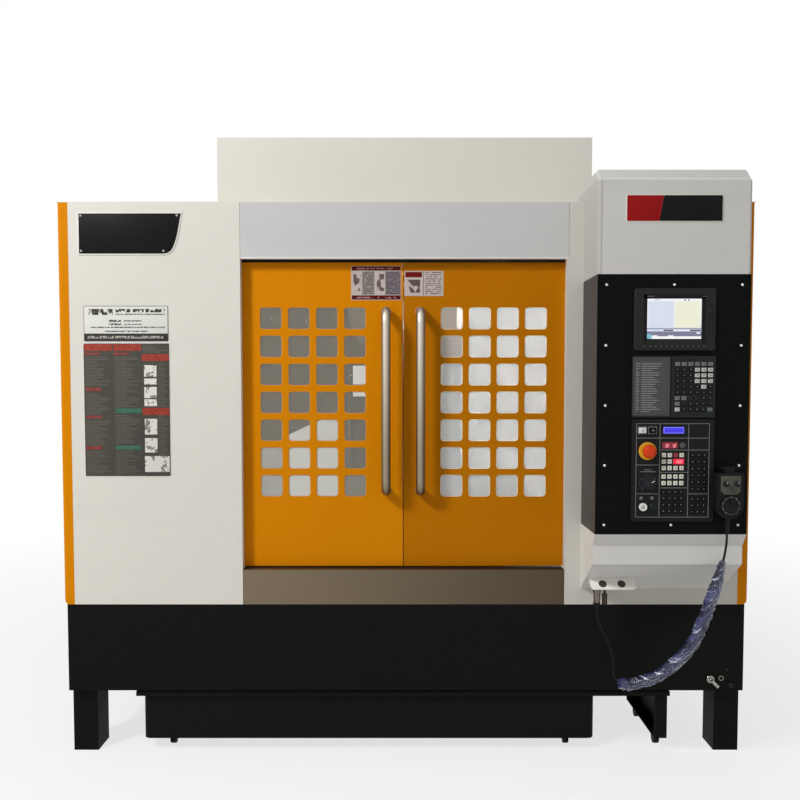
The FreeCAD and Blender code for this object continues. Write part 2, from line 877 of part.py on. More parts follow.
def base_casting():
    """Ribbed base: a low wide block, the bed with its screw trough, and pockets open to below."""
    low = block(-base_half_width, base_half_width, base_front_d, base_rear_d, base_bottom_z, base_step_z)
    bed = block(-bed_half_width, bed_half_width, base_bed_front_d, base_rear_d, base_step_z, bed_z)
    casting = low.fuse(bed).removeSplitter()
    trough_rear = column_front_d - bearing_length
    cuts = [block(-channel_half_width, channel_half_width, base_bed_front_d + bearing_length, trough_rear,
                  bed_z - channel_depth, bed_z)]
    columns = int((2 * base_half_width - rib) // (pocket + rib))
    rows = int((base_rear_d - base_front_d - rib) // (pocket + rib))
    x_first = -(columns * (pocket + rib) - rib) / 2
    d_first = (base_front_d + base_rear_d - (rows * (pocket + rib) - rib)) / 2
    for i in range(columns):
        for k in range(rows):
            x = x_first + i * (pocket + rib)
            d = d_first + k * (pocket + rib)
            under_bed = max(abs(x), abs(x + pocket)) < bed_half_width - rib
            top = bed_z - channel_depth - rib if under_bed else base_step_z - rib
            cuts.append(block(x, x + pocket, d, d + pocket, base_bottom_z, top))
    for d in (base_bed_front_d, trough_rear):
        cuts.append(rod_y(0, d, d + bearing_length, y_screw_z, journal_hole, bar_sides))
    cuts.append(prism_y([(-bed_half_width, base_step_z), (-bed_half_width, base_step_z + 120),
                         (-bed_half_width + 60, base_step_z)], base_bed_front_d, base_front_d))
    return casting.cut(cuts)


def leveling_feet():
    """Levelling pads with their screws."""
    profile = [(0, foot_radius), (foot_height, foot_radius * 0.8), (foot_height, foot_screw_radius),
               (base_bottom_z, foot_screw_radius)]
    return group([turned(V(x, d, 0), Z_AXIS, profile, bar_sides)
                  for x in (-base_half_width + 60, base_half_width - 60)
                  for d in (base_front_d + 15, (base_front_d + base_rear_d) / 2, base_rear_d - 15)])


def column():
    """Column casting flared at its foot, ribbed from behind, with the turret's arms bolted on."""
    d0 = column_front_d
    d1 = column_front_d + column_depth
    w = column_half_width
    f = column_foot_half_width
    profile = [(-f, bed_z), (f, bed_z), (w, column_foot_z), (w, column_top_z), (-w, column_top_z), (-w, column_foot_z)]
    casting = prism_y(profile, d0, d1)
    channel_low = z_screw_low_z
    cuts = [block(-channel_half_width, channel_half_width, d0, d0 + column_channel_depth,
                  channel_low, column_top_z - bearing_length)]
    cuts.append(rod_z(0, z_screw_d, column_top_z - bearing_length, column_top_z, journal_hole, bar_sides))
    rows = int((column_top_z - bed_z - rib) // (pocket + rib))
    z_first = (bed_z + column_top_z - (rows * (pocket + rib) - rib)) / 2
    for side in (-1, 1):
        for k in range(rows):
            x = side * (pocket + rib) / 2 - pocket / 2
            z = z_first + k * (pocket + rib)
            cuts.append(block(x, x + pocket, d0 + column_channel_depth + rib, d1, z, z + pocket))
    casting = casting.cut(cuts)
    support = block(-channel_half_width, channel_half_width, d0, d0 + column_channel_depth,
                    channel_low, channel_low + bearing_length)
    support = support.cut(rod_z(0, z_screw_d, channel_low, channel_low + bearing_length, journal_hole, bar_sides))
    casting = casting.fuse(support).removeSplitter()
    arms = []
    for side in (-1, 1):
        arm = block(w, w + arm_sheet, arm_front_d + bridge_sheet, d0 + 140, arm_bottom_z, arm_top_z)
        arms.append(arm if side > 0 else arm.mirror(FreeCAD.Vector(0, 0, 0), X_AXIS))
    outer = w + arm_sheet
    bridge = prism_y([(-outer, arm_bottom_z), (-outer, arm_top_z), (outer, arm_top_z), (outer, arm_bottom_z),
                      (90, bridge_bottom_z), (-90, bridge_bottom_z)], arm_front_d, arm_front_d + bridge_sheet)
    bridge = bridge.cut(rod_y(0, arm_front_d, arm_front_d + bridge_sheet, turret_z,
                              around(turret_shaft_radius + running_clear)))
    return group([casting] + arms + [bridge])


def guide_rails():
    """Ground rails of the Y and Z axes, and the flat rail that the doors hang on."""
    solids = []
    half = rail_width / 2
    for side in (-1, 1):
        x = side * y_rail_x
        solids.append(block(x - half, x + half, base_bed_front_d + 5, column_front_d - 5, bed_z, bed_z + rail_depth))
        x = side * z_rail_x
        solids.append(block(x - half, x + half, column_front_d - rail_depth, column_front_d,
                            bed_z + z_rail_lift, column_top_z - 5))
    solids.append(door_rail())
    return group(solids)


def saddle():
    """Cross slide: carriages and nut below, screw trough and the X rails on top, the X motor at its end."""
    w = saddle_half_length
    h = saddle_half_depth
    z0 = saddle_bottom_z
    z1 = saddle_top_z
    body = block(-w, w, spindle_d - h, spindle_d + h, z0 + 40, z1)
    under = block(-bed_half_width + 20, bed_half_width - 20, spindle_d - h, spindle_d + h, z0, z0 + 40)
    body = body.fuse(under).removeSplitter()
    trough = block(-w + bearing_length, w - bearing_length, spindle_d - nut_half_width - 6,
                   spindle_d + nut_half_width + 6, x_screw_z - nut_half_height - 6, z1)
    cuts = [trough]
    for x in (-w, w - bearing_length):
        cuts.append(rod_x(x, x + bearing_length, spindle_d, x_screw_z, journal_hole, bar_sides))
    for side in (-1, 1):
        for d in (spindle_d - 95, spindle_d + 95):
            cuts.append(block(side * y_rail_x - carriage_width / 2, side * y_rail_x + carriage_width / 2,
                              d - carriage_length / 2, d + carriage_length / 2, z0, z0 + 6))
    body = body.cut(cuts)
    extras = []
    for side in (-1, 1):
        for d in (spindle_d - 95, spindle_d + 95):
            extras.append(carriage(side * y_rail_x, d, bed_z, "y", z0 + 6))
        d = spindle_d + side * x_rail_half_gap
        extras.append(block(-w, w, d - rail_width / 2, d + rail_width / 2, z1, z1 + rail_depth))
    nut_low = y_screw_z - nut_half_height
    nut = block(-nut_half_width, nut_half_width, spindle_d - 45, spindle_d + 45, nut_low, z0)
    nut = nut.cut(rod_y(0, spindle_d - 45, spindle_d + 45, y_screw_z, screw_hole, bar_sides))
    extras.append(nut)
    m = motor_half_width
    motor_low = x_screw_z - m + 20
    extras.append(block(w, w + 12, spindle_d - m, spindle_d + m, motor_low, motor_low + 2 * m - 50))
    return fused(body, extras)


def work_table():
    """T-slotted table with a coolant gutter, its carriages and the X nut below."""
    w = table_half_length
    h = table_half_depth
    slab = block(-w, w, spindle_d - h, spindle_d + h, table_bottom_z, table_top_z)
    cuts = []
    for k in (-1, 0, 1):
        d = spindle_d + k * t_slot_pitch
        neck = t_slot_width / 2
        foot = t_slot_foot / 2
        top = table_top_z
        profile = [(d - neck, top), (d - neck, top - t_slot_neck), (d - foot, top - t_slot_neck),
                   (d - foot, top - t_slot_deep), (d + foot, top - t_slot_deep), (d + foot, top - t_slot_neck),
                   (d + neck, top - t_slot_neck), (d + neck, top)]
        cuts.append(prism_x(profile, -w, w))
    for side in (-1, 1):
        edge = spindle_d + side * (h - table_gutter)
        low, high = sorted((edge, edge + side * table_gutter / 2))
        cuts.append(block(-w, w, low, high, table_top_z - table_gutter, table_top_z))
    slab = slab.cut(cuts)
    extras = []
    for x in (-table_carriage_x, table_carriage_x):
        for side in (-1, 1):
            extras.append(carriage(x, spindle_d + side * x_rail_half_gap, saddle_top_z, "x", table_bottom_z))
    nut = block(-45, 45, spindle_d - nut_half_width, spindle_d + nut_half_width, x_screw_z - nut_half_height,
                table_bottom_z)
    nut = nut.cut(rod_x(-45, 45, spindle_d, x_screw_z, screw_hole, bar_sides))
    extras.append(nut)
    return fused(slab, extras)


def spindle_head():
    """Head casting with its nose ring, carriages, Z nut and the spindle motor on top."""
    w = head_half_width
    body = prism_x([(head_front_d, head_bottom_z), (spindle_d + head_chin_d, head_bottom_z),
                    (head_back_d, head_bottom_z + head_chin_height), (head_back_d, head_top_z), (head_front_d, head_top_z)], -w, w)
    nose_z = head_bottom_z - nose_length
    head = body.fuse(Part.makeCylinder(nose_radius, nose_length, V(0, spindle_d, nose_z)))
    head = head.cut(Part.makeCylinder(spindle_radius + running_clear, spindle_top_z - nose_z, V(0, spindle_d, nose_z)))
    extras = []
    for side in (-1, 1):
        for z in (head_top_z - head_carriage_inset, head_bottom_z + head_carriage_lift):
            extras.append(carriage(side * z_rail_x, column_front_d, z, "z", head_back_d))
    nut_z = head_top_z - head_nut_drop
    nut = block(-nut_half_width, nut_half_width, head_back_d, z_screw_d + nut_half_height, nut_z, nut_z + 90)
    nut = nut.cut(rod_z(0, z_screw_d, nut_z, nut_z + 90, screw_hole, bar_sides))
    extras.append(nut)
    m = spindle_motor_half
    motor = block(-m, m, spindle_d - 70, spindle_d - 70 + 2 * m, head_top_z, head_top_z + spindle_motor_height)
    posts = [e for e in motor.Edges if abs(e.tangentAt(e.FirstParameter).dot(Z_AXIS)) > 0.99]
    extras.append(motor.makeChamfer(18, posts))
    return fused(head, extras)


def spindle():
    """Spindle shaft with its steep taper, draw-bar bore and two drive keys."""
    z0 = spindle_nose_z
    shaft = rod_z(0, spindle_d, z0, spindle_top_z - 2, spindle_radius)
    taper_end = taper_mouth_radius - taper_depth * taper_slope
    bore = turned(V(0, spindle_d, z0), Z_AXIS, [(0, taper_mouth_radius), (taper_depth, taper_end),
                                                (taper_depth, draw_bore_radius), (taper_depth + 30, draw_bore_radius)])
    keys = [block(side * 30 - 8, side * 30 + 8, spindle_d - 8, spindle_d + 8, z0 - 6, z0) for side in (-1, 1)]
    return fused(shaft.cut(bore), keys)


def tool_turret():
    """Turret drum with a domed cover and a ring of forked gripper arms."""
    d1 = arm_front_d - turret_gap
    d0 = d1 - turret_thickness
    r = turret_radius
    profile = [(0, r * 0.62), (turret_bevel * 0.6, r - turret_bevel * 0.4), (turret_bevel, r), (turret_thickness, r)]
    drum = turned(V(0, d0, turret_z), Y_AXIS, profile, 2 * turret_tools)
    shaft = rod_y(0, d1, arm_front_d + bridge_sheet, turret_z, turret_shaft_radius)
    arm_mid = d1 - turret_arm_thickness
    half = turret_arm_width / 2
    gap = turret_fork_gap / 2
    outer = turret_arm_radius
    arm = prism_y([(-half + 4, turret_z - r + 12), (half - 4, turret_z - r + 12), (half, turret_z - outer),
                   (gap, turret_z - outer), (gap, turret_z - outer + 22), (-gap, turret_z - outer + 22),
                   (-gap, turret_z - outer), (-half, turret_z - outer)], arm_mid, d1)
    arms = []
    for k in range(turret_tools):
        copy = arm.copy()
        copy.rotate(V(0, 0, turret_z), Y_AXIS, k * 360.0 / turret_tools)
        arms.append(copy)
    return fused(drum, [shaft] + arms)


def ball_screw(start, axis, length):
    """Screw with a thinner journal at each end; length runs over both bearings."""
    end = bearing_length
    return turned(start, axis, [(4, journal_radius), (end, journal_radius), (end, screw_radius),
                                (length - end, screw_radius), (length - end, journal_radius),
                                (length - 4, journal_radius)], bar_sides)


def servo(x, d, z, axis):
    """A servo motor on its flange; axis is the side that its body points to."""
    m = motor_half_width
    n = m - 6
    long = motor_length
    if axis == "front":
        flange_plate = block(x - m, x + m, d - 10, d, z - m, z + m)
        case = block(x - n, x + n, d - long, d - 10, z - n, z + n)
        cap = rod_y(x, d - long - 14, d - long, z, n * 0.8, bar_sides)
    else:
        flange_plate = block(x - m, x + m, d - m, d + m, z, z + 10)
        case = block(x - n, x + n, d - n, d + n, z + 10, z + long)
        cap = rod_z(x, d, z + long, z + long + 14, n * 0.8, bar_sides)
    return fused(flange_plate, [case, cap])


def servo_motors():
    y_motor = servo(0, base_bed_front_d, y_screw_z, "front")
    z_motor = servo(0, z_screw_d, column_top_z, "up")
    side = column_half_width + arm_sheet
    inset = turret_motor_inset
    turret_motor = block(side, side + turret_motor_width, arm_front_d + inset, arm_front_d + inset + turret_motor_length,
                         arm_bottom_z + inset, arm_top_z - inset)
    return group([y_motor, z_motor, turret_motor])


def bellows(d0, d1):
    """Pleated way cover: a folded roof and two sides over the rails."""
    count = max(2, int(round((d1 - d0) / bellows_pleat)))
    step = (d1 - d0) / count
    t = bellows_sheet
    hat = []
    floor = []
    for k in range(count + 1):
        drop = 0 if k in (0, count) else bellows_drop
        hat.append((d0 + k * step, bellows_top_z - drop))
        floor.append((d0 + k * step, bellows_top_z - drop - t))
        if k < count:
            hat.append((d0 + (k + 0.5) * step, bellows_top_z))
            floor.append((d0 + (k + 0.5) * step, bellows_top_z - t))
    w = bellows_half_width
    top = prism_x(hat + floor[::-1], -w, w)
    sides = []
    for side in (-1, 1):
        x0, x1 = sorted((side * (w - t), side * w))
        sides.append(block(x0, x1, d0, d1, bed_z + bellows_lift, bellows_top_z - bellows_drop - t))
    return fused(top, sides)


# ---------------------------------------------------------------- operator console

def inset(outline, wall):
    """The same outline with every edge moved inwards by a wall's thickness; corners listed anticlockwise."""
    moved = []
    for k, (a, b) in enumerate(outline):
        before = outline[k - 1]
        after = outline[(k + 1) % len(outline)]
        u = FreeCAD.Vector(a - before[0], b - before[1], 0).normalize()
        v = FreeCAD.Vector(after[0] - a, after[1] - b, 0).normalize()
        inward = (Z_AXIS.cross(u) + Z_AXIS.cross(v)).normalize()
        reach = wall / inward.dot(Z_AXIS.cross(u))
        moved.append((a + inward.x * reach, b + inward.y * reach))
    return moved


def console_cover():
    """White folded tower above the control plate, with its cap over the roof's edge."""
    front = -console_depth
    top = console_top_z
    outline = [(front, plate_top_z), (0, plate_top_z), (0, roof_z), (console_cap_end_d, roof_z),
               (console_cap_d, top), (front + console_chamfer, top), (front, top - console_chamfer)]
    return prism_x(outline, console_left_x, console_right_x), outline


def console_skirt():
    """White folded foot below the control plate that leads back to the front panel."""
    front = -console_depth
    outline = [(front + skirt_step, skirt_knee_z), (0, skirt_foot_z), (0, plate_bottom_z), (front, plate_bottom_z),
               (front + skirt_step, skirt_step_z)]
    return prism_x(outline, console_left_x, console_right_x), outline


def bevelled_sides(shape):
    """Bevels the front and top edges that run along the two side faces."""
    edges = []
    for e in shape.Edges:
        c = e.CenterOfMass
        along_side = abs(e.tangentAt(e.FirstParameter).x) < 0.01
        on_side = min(abs(c.x - console_left_x), abs(c.x - console_right_x)) < 0.1
        on_top = c.z > plate_top_z + 10 and c.y < y_front + console_cap_d - 1 and abs(c.y - y_front) > 1
        if along_side and on_side and on_top:
            edges.append(e)
    return shape.makeChamfer(console_edge, edges)


def console_housing():
    """Both folded covers, hollow inside their sheet."""
    cover, cover_outline = console_cover()
    foot, foot_outline = console_skirt()
    pieces = []
    for solid, outline in ((bevelled_sides(cover), cover_outline), (foot, foot_outline)):
        room = prism_x(inset(outline, console_sheet), console_left_x + console_edge, console_right_x - console_edge)
        pieces.append(solid.cut(room))
    return group(pieces)


def control_box():
    """Dark box behind the control plate, closed by the plate in front."""
    t = console_sheet
    x0 = console_left_x
    x1 = console_right_x
    d0 = plate_d + plate_sheet
    left = block(x0, x0 + t, d0, 0, plate_bottom_z, plate_top_z)
    right = block(x1 - t, x1, d0, 0, plate_bottom_z, plate_top_z)
    bottom = block(x0 + t, x1 - t, d0, 0, plate_bottom_z, plate_bottom_z + t)
    top = block(x0 + t, x1 - t, d0, 0, plate_top_z - t, plate_top_z)
    back = block(x0 + t, x1 - t, -t, 0, plate_bottom_z + t, plate_top_z - t)
    return group([left, right, bottom, top, back])


def control_plate():
    """Black front plate, with the pendant's hook folded from sheet and fixed to it."""
    plate = rounded_y(console_left_x, console_right_x, plate_bottom_z, plate_top_z, plate_d, plate_d + plate_sheet,
                      plate_radius)
    half = pendant_neck_half + hook_sheet
    high = hook_z + hook_height
    arms = [block(pendant_x - half, pendant_x - half + hook_sheet, pendant_front_d + 6, plate_d, hook_z, high),
            block(pendant_x + half - hook_sheet, pendant_x + half, pendant_front_d + 6, plate_d, hook_z, high)]
    return fused(plate, arms)


def screw_places():
    places = []
    for k in range(plate_screw_rows):
        z = plate_screw_z + k * plate_screw_pitch
        columns = (-1, 0, 1) if k in (0, plate_screw_rows - 1) else (-1, 1)
        places += [(plate_x + i * plate_screw_side, z) for i in columns]
    return places


def plate_screws():
    head = [(0, plate_screw_radius * 0.6), (plate_screw_head, plate_screw_radius)]
    return group([turned(V(x, plate_d - plate_screw_head, z), Y_AXIS, head, cord_sides) for x, z in screw_places()])


def display_unit():
    """Moulded display bezel with a recessed screen, soft keys and a card slot."""
    d0 = plate_d - display_thickness
    x0 = display_x - display_width / 2
    z0 = display_z - display_height / 2
    case = bevelled_y(x0, x0 + display_width, z0, z0 + display_height, d0, plate_d, display_radius, display_bevel)
    screen = block(screen_x - screen_width / 2, screen_x + screen_width / 2, d0, d0 + screen_recess,
                   display_z - screen_height / 2, display_z + screen_height / 2)
    slot = block(card_slot_x - card_slot_width / 2, card_slot_x + card_slot_width / 2, d0, d0 + screen_recess,
                 card_slot_z - card_slot_height / 2, card_slot_z + card_slot_height / 2)
    case = case.cut([screen, slot])
    first = screen_x - (soft_keys - 1) / 2 * soft_key_pitch
    keys = [block(first + k * soft_key_pitch - 5, first + k * soft_key_pitch + 5, d0 - 1.5, d0 + 1,
                  soft_key_z - 4, soft_key_z + 4) for k in range(soft_keys)]
    return fused(case, keys)


def keypad_unit():
    """Two plates side by side: the bare table plate and the key field."""
    d0 = plate_d - keypad_thickness
    left = block(keypad_left_x, keypad_split_x - 1, d0 + 2, plate_d, keypad_bottom_z, keypad_top_z)
    right = block(keypad_split_x + 1, keypad_right_x, d0, plate_d, keypad_bottom_z, keypad_top_z)
    keys = []
    for i in range(key_columns):
        for k in range(key_rows):
            x = key_first_x + i * key_pitch_x
            z = key_top_z - k * key_pitch_z
            keys.append(block(x - key_width / 2, x + key_width / 2, d0 - key_rise, d0, z - key_height / 2,
                              z + key_height / 2))
    return group([left, right] + keys)


def operator_keys():
    """Centres (x, z) of the flat keys on the operator panel, field by field."""
    fields = [(flat_left_x, 4, upper_keys_z, flat_pitch_z, 3), (flat_left_x, 4, middle_keys_z, flat_pitch_z, 2),
              (flat_left_x, 4, lower_keys_z, flat_pitch_z, 4), (flat_right_x, 3, side_keys_z, side_pitch_z, 6),
              (flat_right_x, 3, corner_keys_z, flat_pitch_z, 3)]
    places = []
    for x0, columns, z0, pitch, rows in fields:
        for i in range(columns):
            for k in range(rows):
                places.append((x0 + i * flat_pitch_x, z0 - k * pitch))
    return places


def operator_panel():
    """Operator panel with a raised rim, key fields, and pockets for the buttons and the switch."""
    d0 = panel_front_d
    plate = rounded_y(panel_left_x, panel_right_x, panel_low_z, panel_high_z, d0, plate_d, 6)
    recess = block(panel_left_x + panel_frame_inset, panel_right_x - panel_frame_inset, d0, d0 + panel_recess,
                   panel_low_z + panel_frame_inset, panel_high_z - panel_frame_inset)
    face_d = d0 + panel_recess
    pockets = [
        rod_y(estop_x, d0, plate_d, estop_z, around(estop_stem_radius + button_clear)),
        rod_y(knob_x, d0, plate_d, knob_z, around(knob_stem_radius + running_clear)),
        rod_y(start_x, d0, plate_d, start_z, around(start_radius + button_clear)),
    ]
    for k in range(2):
        x = power_x + k * power_pitch
        pockets.append(block(x - power_width / 2 - button_clear, x + power_width / 2 + button_clear, d0, plate_d,
                             power_z - power_height / 2 - button_clear, power_z + power_height / 2 + button_clear))
    plate = plate.cut([recess] + pockets)
    h = flat_key_half
    keys = [block(x - h, x + h, face_d - flat_key_depth, face_d, z - h, z + h) for x, z in operator_keys()]
    return group([plate] + keys)


def estop_button():
    """Mushroom head on its stem."""
    gap = estop_travel + 3
    start = panel_front_d - gap - estop_height
    stem = plate_d - estop_travel - 0.5 - start
    return turned(V(estop_x, start, estop_z), Y_AXIS, [
        (0, estop_radius - 7), (5, estop_radius - 1.5), (10, estop_radius), (estop_height, estop_radius - 3),
        (estop_height, estop_stem_radius), (stem, estop_stem_radius)])


def override_knob():
    """Rotary switch knob with a grip bar."""
    d1 = panel_front_d - 1
    base = rod_y(knob_x, d1 - 6, d1, knob_z, knob_radius)
    grip = block(knob_x - 4.5, knob_x + 4.5, d1 - knob_height, d1 - 6, knob_z - knob_radius + 1, knob_z + knob_radius - 1)
    stem = rod_y(knob_x, d1, plate_d - 1, knob_z, knob_stem_radius)
    return fused(base, [grip, stem])


def power_button(k):
    x = power_x + k * power_pitch
    return block(x - power_width / 2, x + power_width / 2, panel_front_d - button_rise, plate_d - button_depth,
                 power_z - power_height / 2, power_z + power_height / 2)


def cycle_start_button():
    return rod_y(start_x, panel_front_d - button_rise, plate_d - button_depth, start_z, start_radius)


def pendant_body():
    """Handheld pendant: a rounded body, the face plate, its hanging neck and the cable's strain relief."""
    w = pendant_half_width
    d0 = pendant_front_d
    d1 = pendant_back_d
    upper = rounded_y(pendant_x - w, pendant_x + w, pendant_wheel_z - w, pendant_top_z, d0, d1, pendant_corner)
    upper = upper.cut(block(pendant_x - w, pendant_x + w, d0, d1, pendant_wheel_z - w, pendant_wheel_z))
    lower = rod_y(pendant_x, d0, d1, pendant_wheel_z, around(w))
    neck = block(pendant_x - pendant_neck_half + 3, pendant_x + pendant_neck_half - 3, d0 + 8, d1,
                 pendant_top_z, pendant_lip_z)
    lip = block(pendant_x - pendant_neck_half - 8, pendant_x + pendant_neck_half + 8, d0 + 8, d1,
                pendant_lip_z, pendant_lip_z + pendant_lip_height)
    f = pendant_face_half
    face = prism_y([(pendant_x - f, pendant_face_top_z), (pendant_x + f, pendant_face_top_z),
                    (pendant_x + f, pendant_face_bottom_z + 12), (pendant_x + f - 12, pendant_face_bottom_z),
                    (pendant_x - f + 12, pendant_face_bottom_z), (pendant_x - f, pendant_face_bottom_z + 12)],
                   d0 - 1.5, d0)
    relief = turned(V(*upper_lead[0]), Z_AXIS, [(0, relief_end_radius), (relief_length + 5, relief_top_radius)],
                    bar_sides)
    body = fused(upper, [lower, neck, lip, face, relief])
    stem_holes = [rod_y(pendant_x, d0 - 2, d0 + 12, pendant_wheel_z, around(wheel_stem_radius + running_clear, bar_sides),
                        bar_sides)]
    for side in (-1, 1):
        stem_holes.append(rod_y(pendant_x + side * pendant_knob_spread, d0 - 2, d0 + 10, pendant_knob_z,
                                around(knob_stem + running_clear, bar_sides), bar_sides))
    return body.cut(stem_holes)


def pendant_handwheel():
    """Hand wheel disc with a raised hub and a small spinner knob."""
    top = pendant_front_d - wheel_gap - wheel_thickness
    body = turned(V(pendant_x, top, pendant_wheel_z), Y_AXIS, [
        (0, wheel_hub_radius), (4, wheel_hub_radius), (4, wheel_radius - 3), (wheel_thickness, wheel_radius),
        (wheel_thickness, wheel_stem_radius), (wheel_thickness + 12, wheel_stem_radius)])
    spinner = rod_y(pendant_x, top - wheel_knob_height, top, pendant_wheel_z + wheel_hub_radius - wheel_knob_radius - 2,
                    wheel_knob_radius, bar_sides)
    return fused(body, [spinner])


def pendant_knob(side):
    x = pendant_x + side * pendant_knob_spread
    d1 = pendant_front_d - 2.5
    base = rod_y(x, d1 - 4, d1, pendant_knob_z, pendant_knob_radius, bar_sides)
    grip = block(x - 2.5, x + 2.5, d1 - pendant_knob_height, d1 - 4, pendant_knob_z - pendant_knob_radius + 0.6,
                 pendant_knob_z + pendant_knob_radius - 0.6)
    stem = rod_y(x, d1, pendant_front_d + 9, pendant_knob_z, knob_stem, bar_sides)
    return fused(base, [grip, stem])


def connector_bracket():
    """Tilted socket plate with two round holes, folded from a strip that is fixed under the console's foot."""
    x0 = bracket_left_x
    x1 = bracket_right_x
    t = bracket_sheet
    slope_z = (bracket_fold_z - skirt_foot_z) / (skirt_knee_z - skirt_foot_z)
    fold_d = (skirt_step - console_depth) * slope_z
    fold_z = bracket_fold_z
    slope = math.degrees(math.atan2(skirt_knee_z - skirt_foot_z, console_depth - skirt_step))
    strip = block(x0, x1, fold_d, fold_d + t, fold_z, fold_z + bracket_strip)
    strip.rotate(V(0, fold_d, fold_z), X_AXIS, -90 - slope)
    low = fold_z - bracket_tilt_width
    plate = rounded_y(x0, x1, low, fold_z + bracket_tilt_width, fold_d, fold_d + t, bracket_corner)
    plate = plate.cut(block(x0, x1, fold_d, fold_d + t, fold_z, fold_z + bracket_tilt_width))
    holes = [rod_y(x0 + bracket_hole_inset + k * bracket_hole_pitch, fold_d, fold_d + t, (low + fold_z) / 2,
                   bracket_hole_radius) for k in range(2)]
    plate = plate.cut(holes)
    plate.rotate(V(0, fold_d, fold_z), X_AXIS, -45)
    seat_x = plug_x - socket_half
    middle = fold_z - fold_d - t * math.sqrt(0.5)
    front = plug_d - socket_half
    rear = plug_d + socket_half
    seat = prism_x([(front, plug_top_z), (front, front + middle), (rear, rear + middle), (rear, plug_top_z)],
                   seat_x, plug_x + spare_socket_pitch + socket_half)
    spare = turned(V(plug_x + spare_socket_pitch, plug_d, plug_top_z), Z_AXIS * -1,
                   [(0, spare_neck_radius), (spare_neck_length, spare_neck_radius),
                    (spare_neck_length, spare_socket_radius), (spare_socket_length, spare_socket_radius)], bar_sides)
    return fused(strip, [plate, seat, spare])


def cord_plug():
    """Round connector: coupling nut, barrel and cable clamp."""
    low = plug_nut_length + plug_length
    profile = [(0, plug_nut_radius), (plug_nut_length, plug_nut_radius), (plug_nut_length, plug_radius),
               (low, plug_radius), (low + plug_tail_length, plug_tail_radius)]
    return turned(V(plug_x, plug_d, plug_top_z), Z_AXIS * -1, profile, bar_sides)


def route_wire(points, name):
    """Straight runs joined by tangent arcs through the given points; prints each arc's radius."""
    at = [V(*p) for p in points]
    edges = []
    start = at[0]
    radii = []
    for before, corner, after in zip(at, at[1:], at[2:]):
        back = before - corner
        ahead = after - corner
        turn = math.pi - back.getAngle(ahead)
        cut = 0.45 * min(back.Length, ahead.Length)
        radius = cut / math.tan(turn / 2)
        u = back.normalize()
        v = ahead.normalize()
        p0 = corner + u * cut
        p1 = corner + v * cut
        half = (u + v).normalize()
        middle = corner + half * (radius / math.cos(turn / 2) - radius)
        edges.append(Part.LineSegment(start, p0).toShape())
        edges.append(Part.Arc(p0, middle, p1).toShape())
        start = p1
        radii.append(radius)
    edges.append(Part.LineSegment(start, at[-1]).toShape())
    wire = Part.Wire(edges)
    print(name, "length %.0f" % wire.Length, "radii", ["%.0f" % r for r in radii])
    return wire


def tube(points, radius, sides, name):
    wire = route_wire(points, name)
    direction = (V(*points[1]) - V(*points[0])).normalize()
    section = ring(V(*points[0]), direction, radius, sides)
    solid = wire.makePipeShell([Part.makePolygon(section + section[:1])], True, False)
    area = sides / 2 * radius ** 2 * math.sin(2 * math.pi / sides)
    print(name, "volume %.0f of %.0f" % (solid.Volume, area * wire.Length))
    return solid


def cord_sleeve():
    """Protective sleeve round the curly cord, gathered in at the top."""
    top = V(*sleeve_route[0])
    along = (V(*sleeve_route[1]) - top).normalize()
    neck = turned(top, along, [(0, sleeve_neck_radius), (sleeve_neck_length, sleeve_radius)], sleeve_sides)
    start = top + along * sleeve_neck_length
    first = (start.x, start.y - y_front, start.z)
    return fused(neck, [tube([first] + sleeve_route[1:], sleeve_radius, sleeve_sides, "sleeve")])


# ---------------------------------------------------------------- tank, cabinet, lamp, fittings

def coolant_tank():
    """Low tank that slides out under the front, open on top inside its lip; the lip runs on to a side post."""
    x0 = tank_left_x
    x1 = tank_right_x
    d0 = tank_front_d
    d1 = tank_front_d + tank_depth
    z0 = tank_bottom_z
    z1 = tank_top_z
    t = tank_sheet
    low = z1 - tank_lip_height
    shell = prism_z(rounded_outline(x0, x1, d0, d1, tank_corner), z0, z1)
    shell = shell.cut(prism_z(rounded_outline(x0 + t, x1 - t, d0 + t, d1 - t, tank_corner - t), z0 + t, z1))
    lip = block(x0 - tank_lip, tank_shelf_x, d0 - tank_lip, d1, low, z1)
    lip = lip.cut([block(x0 - tank_lip + t, tank_shelf_x - t, d0 - tank_lip + t, d1, low, z1 - t),
                   block(x0 + t, x1 - t, d0 + t, d1 - t, z1 - t, z1)])
    baffle = block(x0 + baffle_inset, x0 + baffle_inset + t, d0 + t, d1 - t, z0 + t, z1 - 50)
    post_x = tank_shelf_x - t - tank_post
    post = block(post_x, tank_shelf_x - t, d0, d1, z0, z1 - t)
    post = post.cut(block(post_x, tank_shelf_x - 2 * t, d0 + t, d1 - t, z0 + t, z1 - t))
    parts = [lip, baffle, post]
    for x in (x0 + 90, x1 - 90, post_x + tank_post / 2):
        for d in (d0 + 60, d1 - 60):
            wheel = rod_x(x - caster_width / 2, x + caster_width / 2, d, caster_radius, caster_radius, bar_sides)
            fork = block(x - caster_width / 2, x + caster_width / 2, d - 12, d + 12, caster_radius, z0)
            parts += [wheel, fork]
    return fused(shell, parts)


def hinge_places():
    return [cabinet_bottom_z + hinge_inset, cabinet_top_z - hinge_inset - 2 * hinge_length]


def hinge_knuckle(z):
    return rod_z(cabinet_half_width + hinge_radius, enclosure_depth + cabinet_depth + cabinet_door_gap, z,
                 z + hinge_length, hinge_radius, bar_sides)


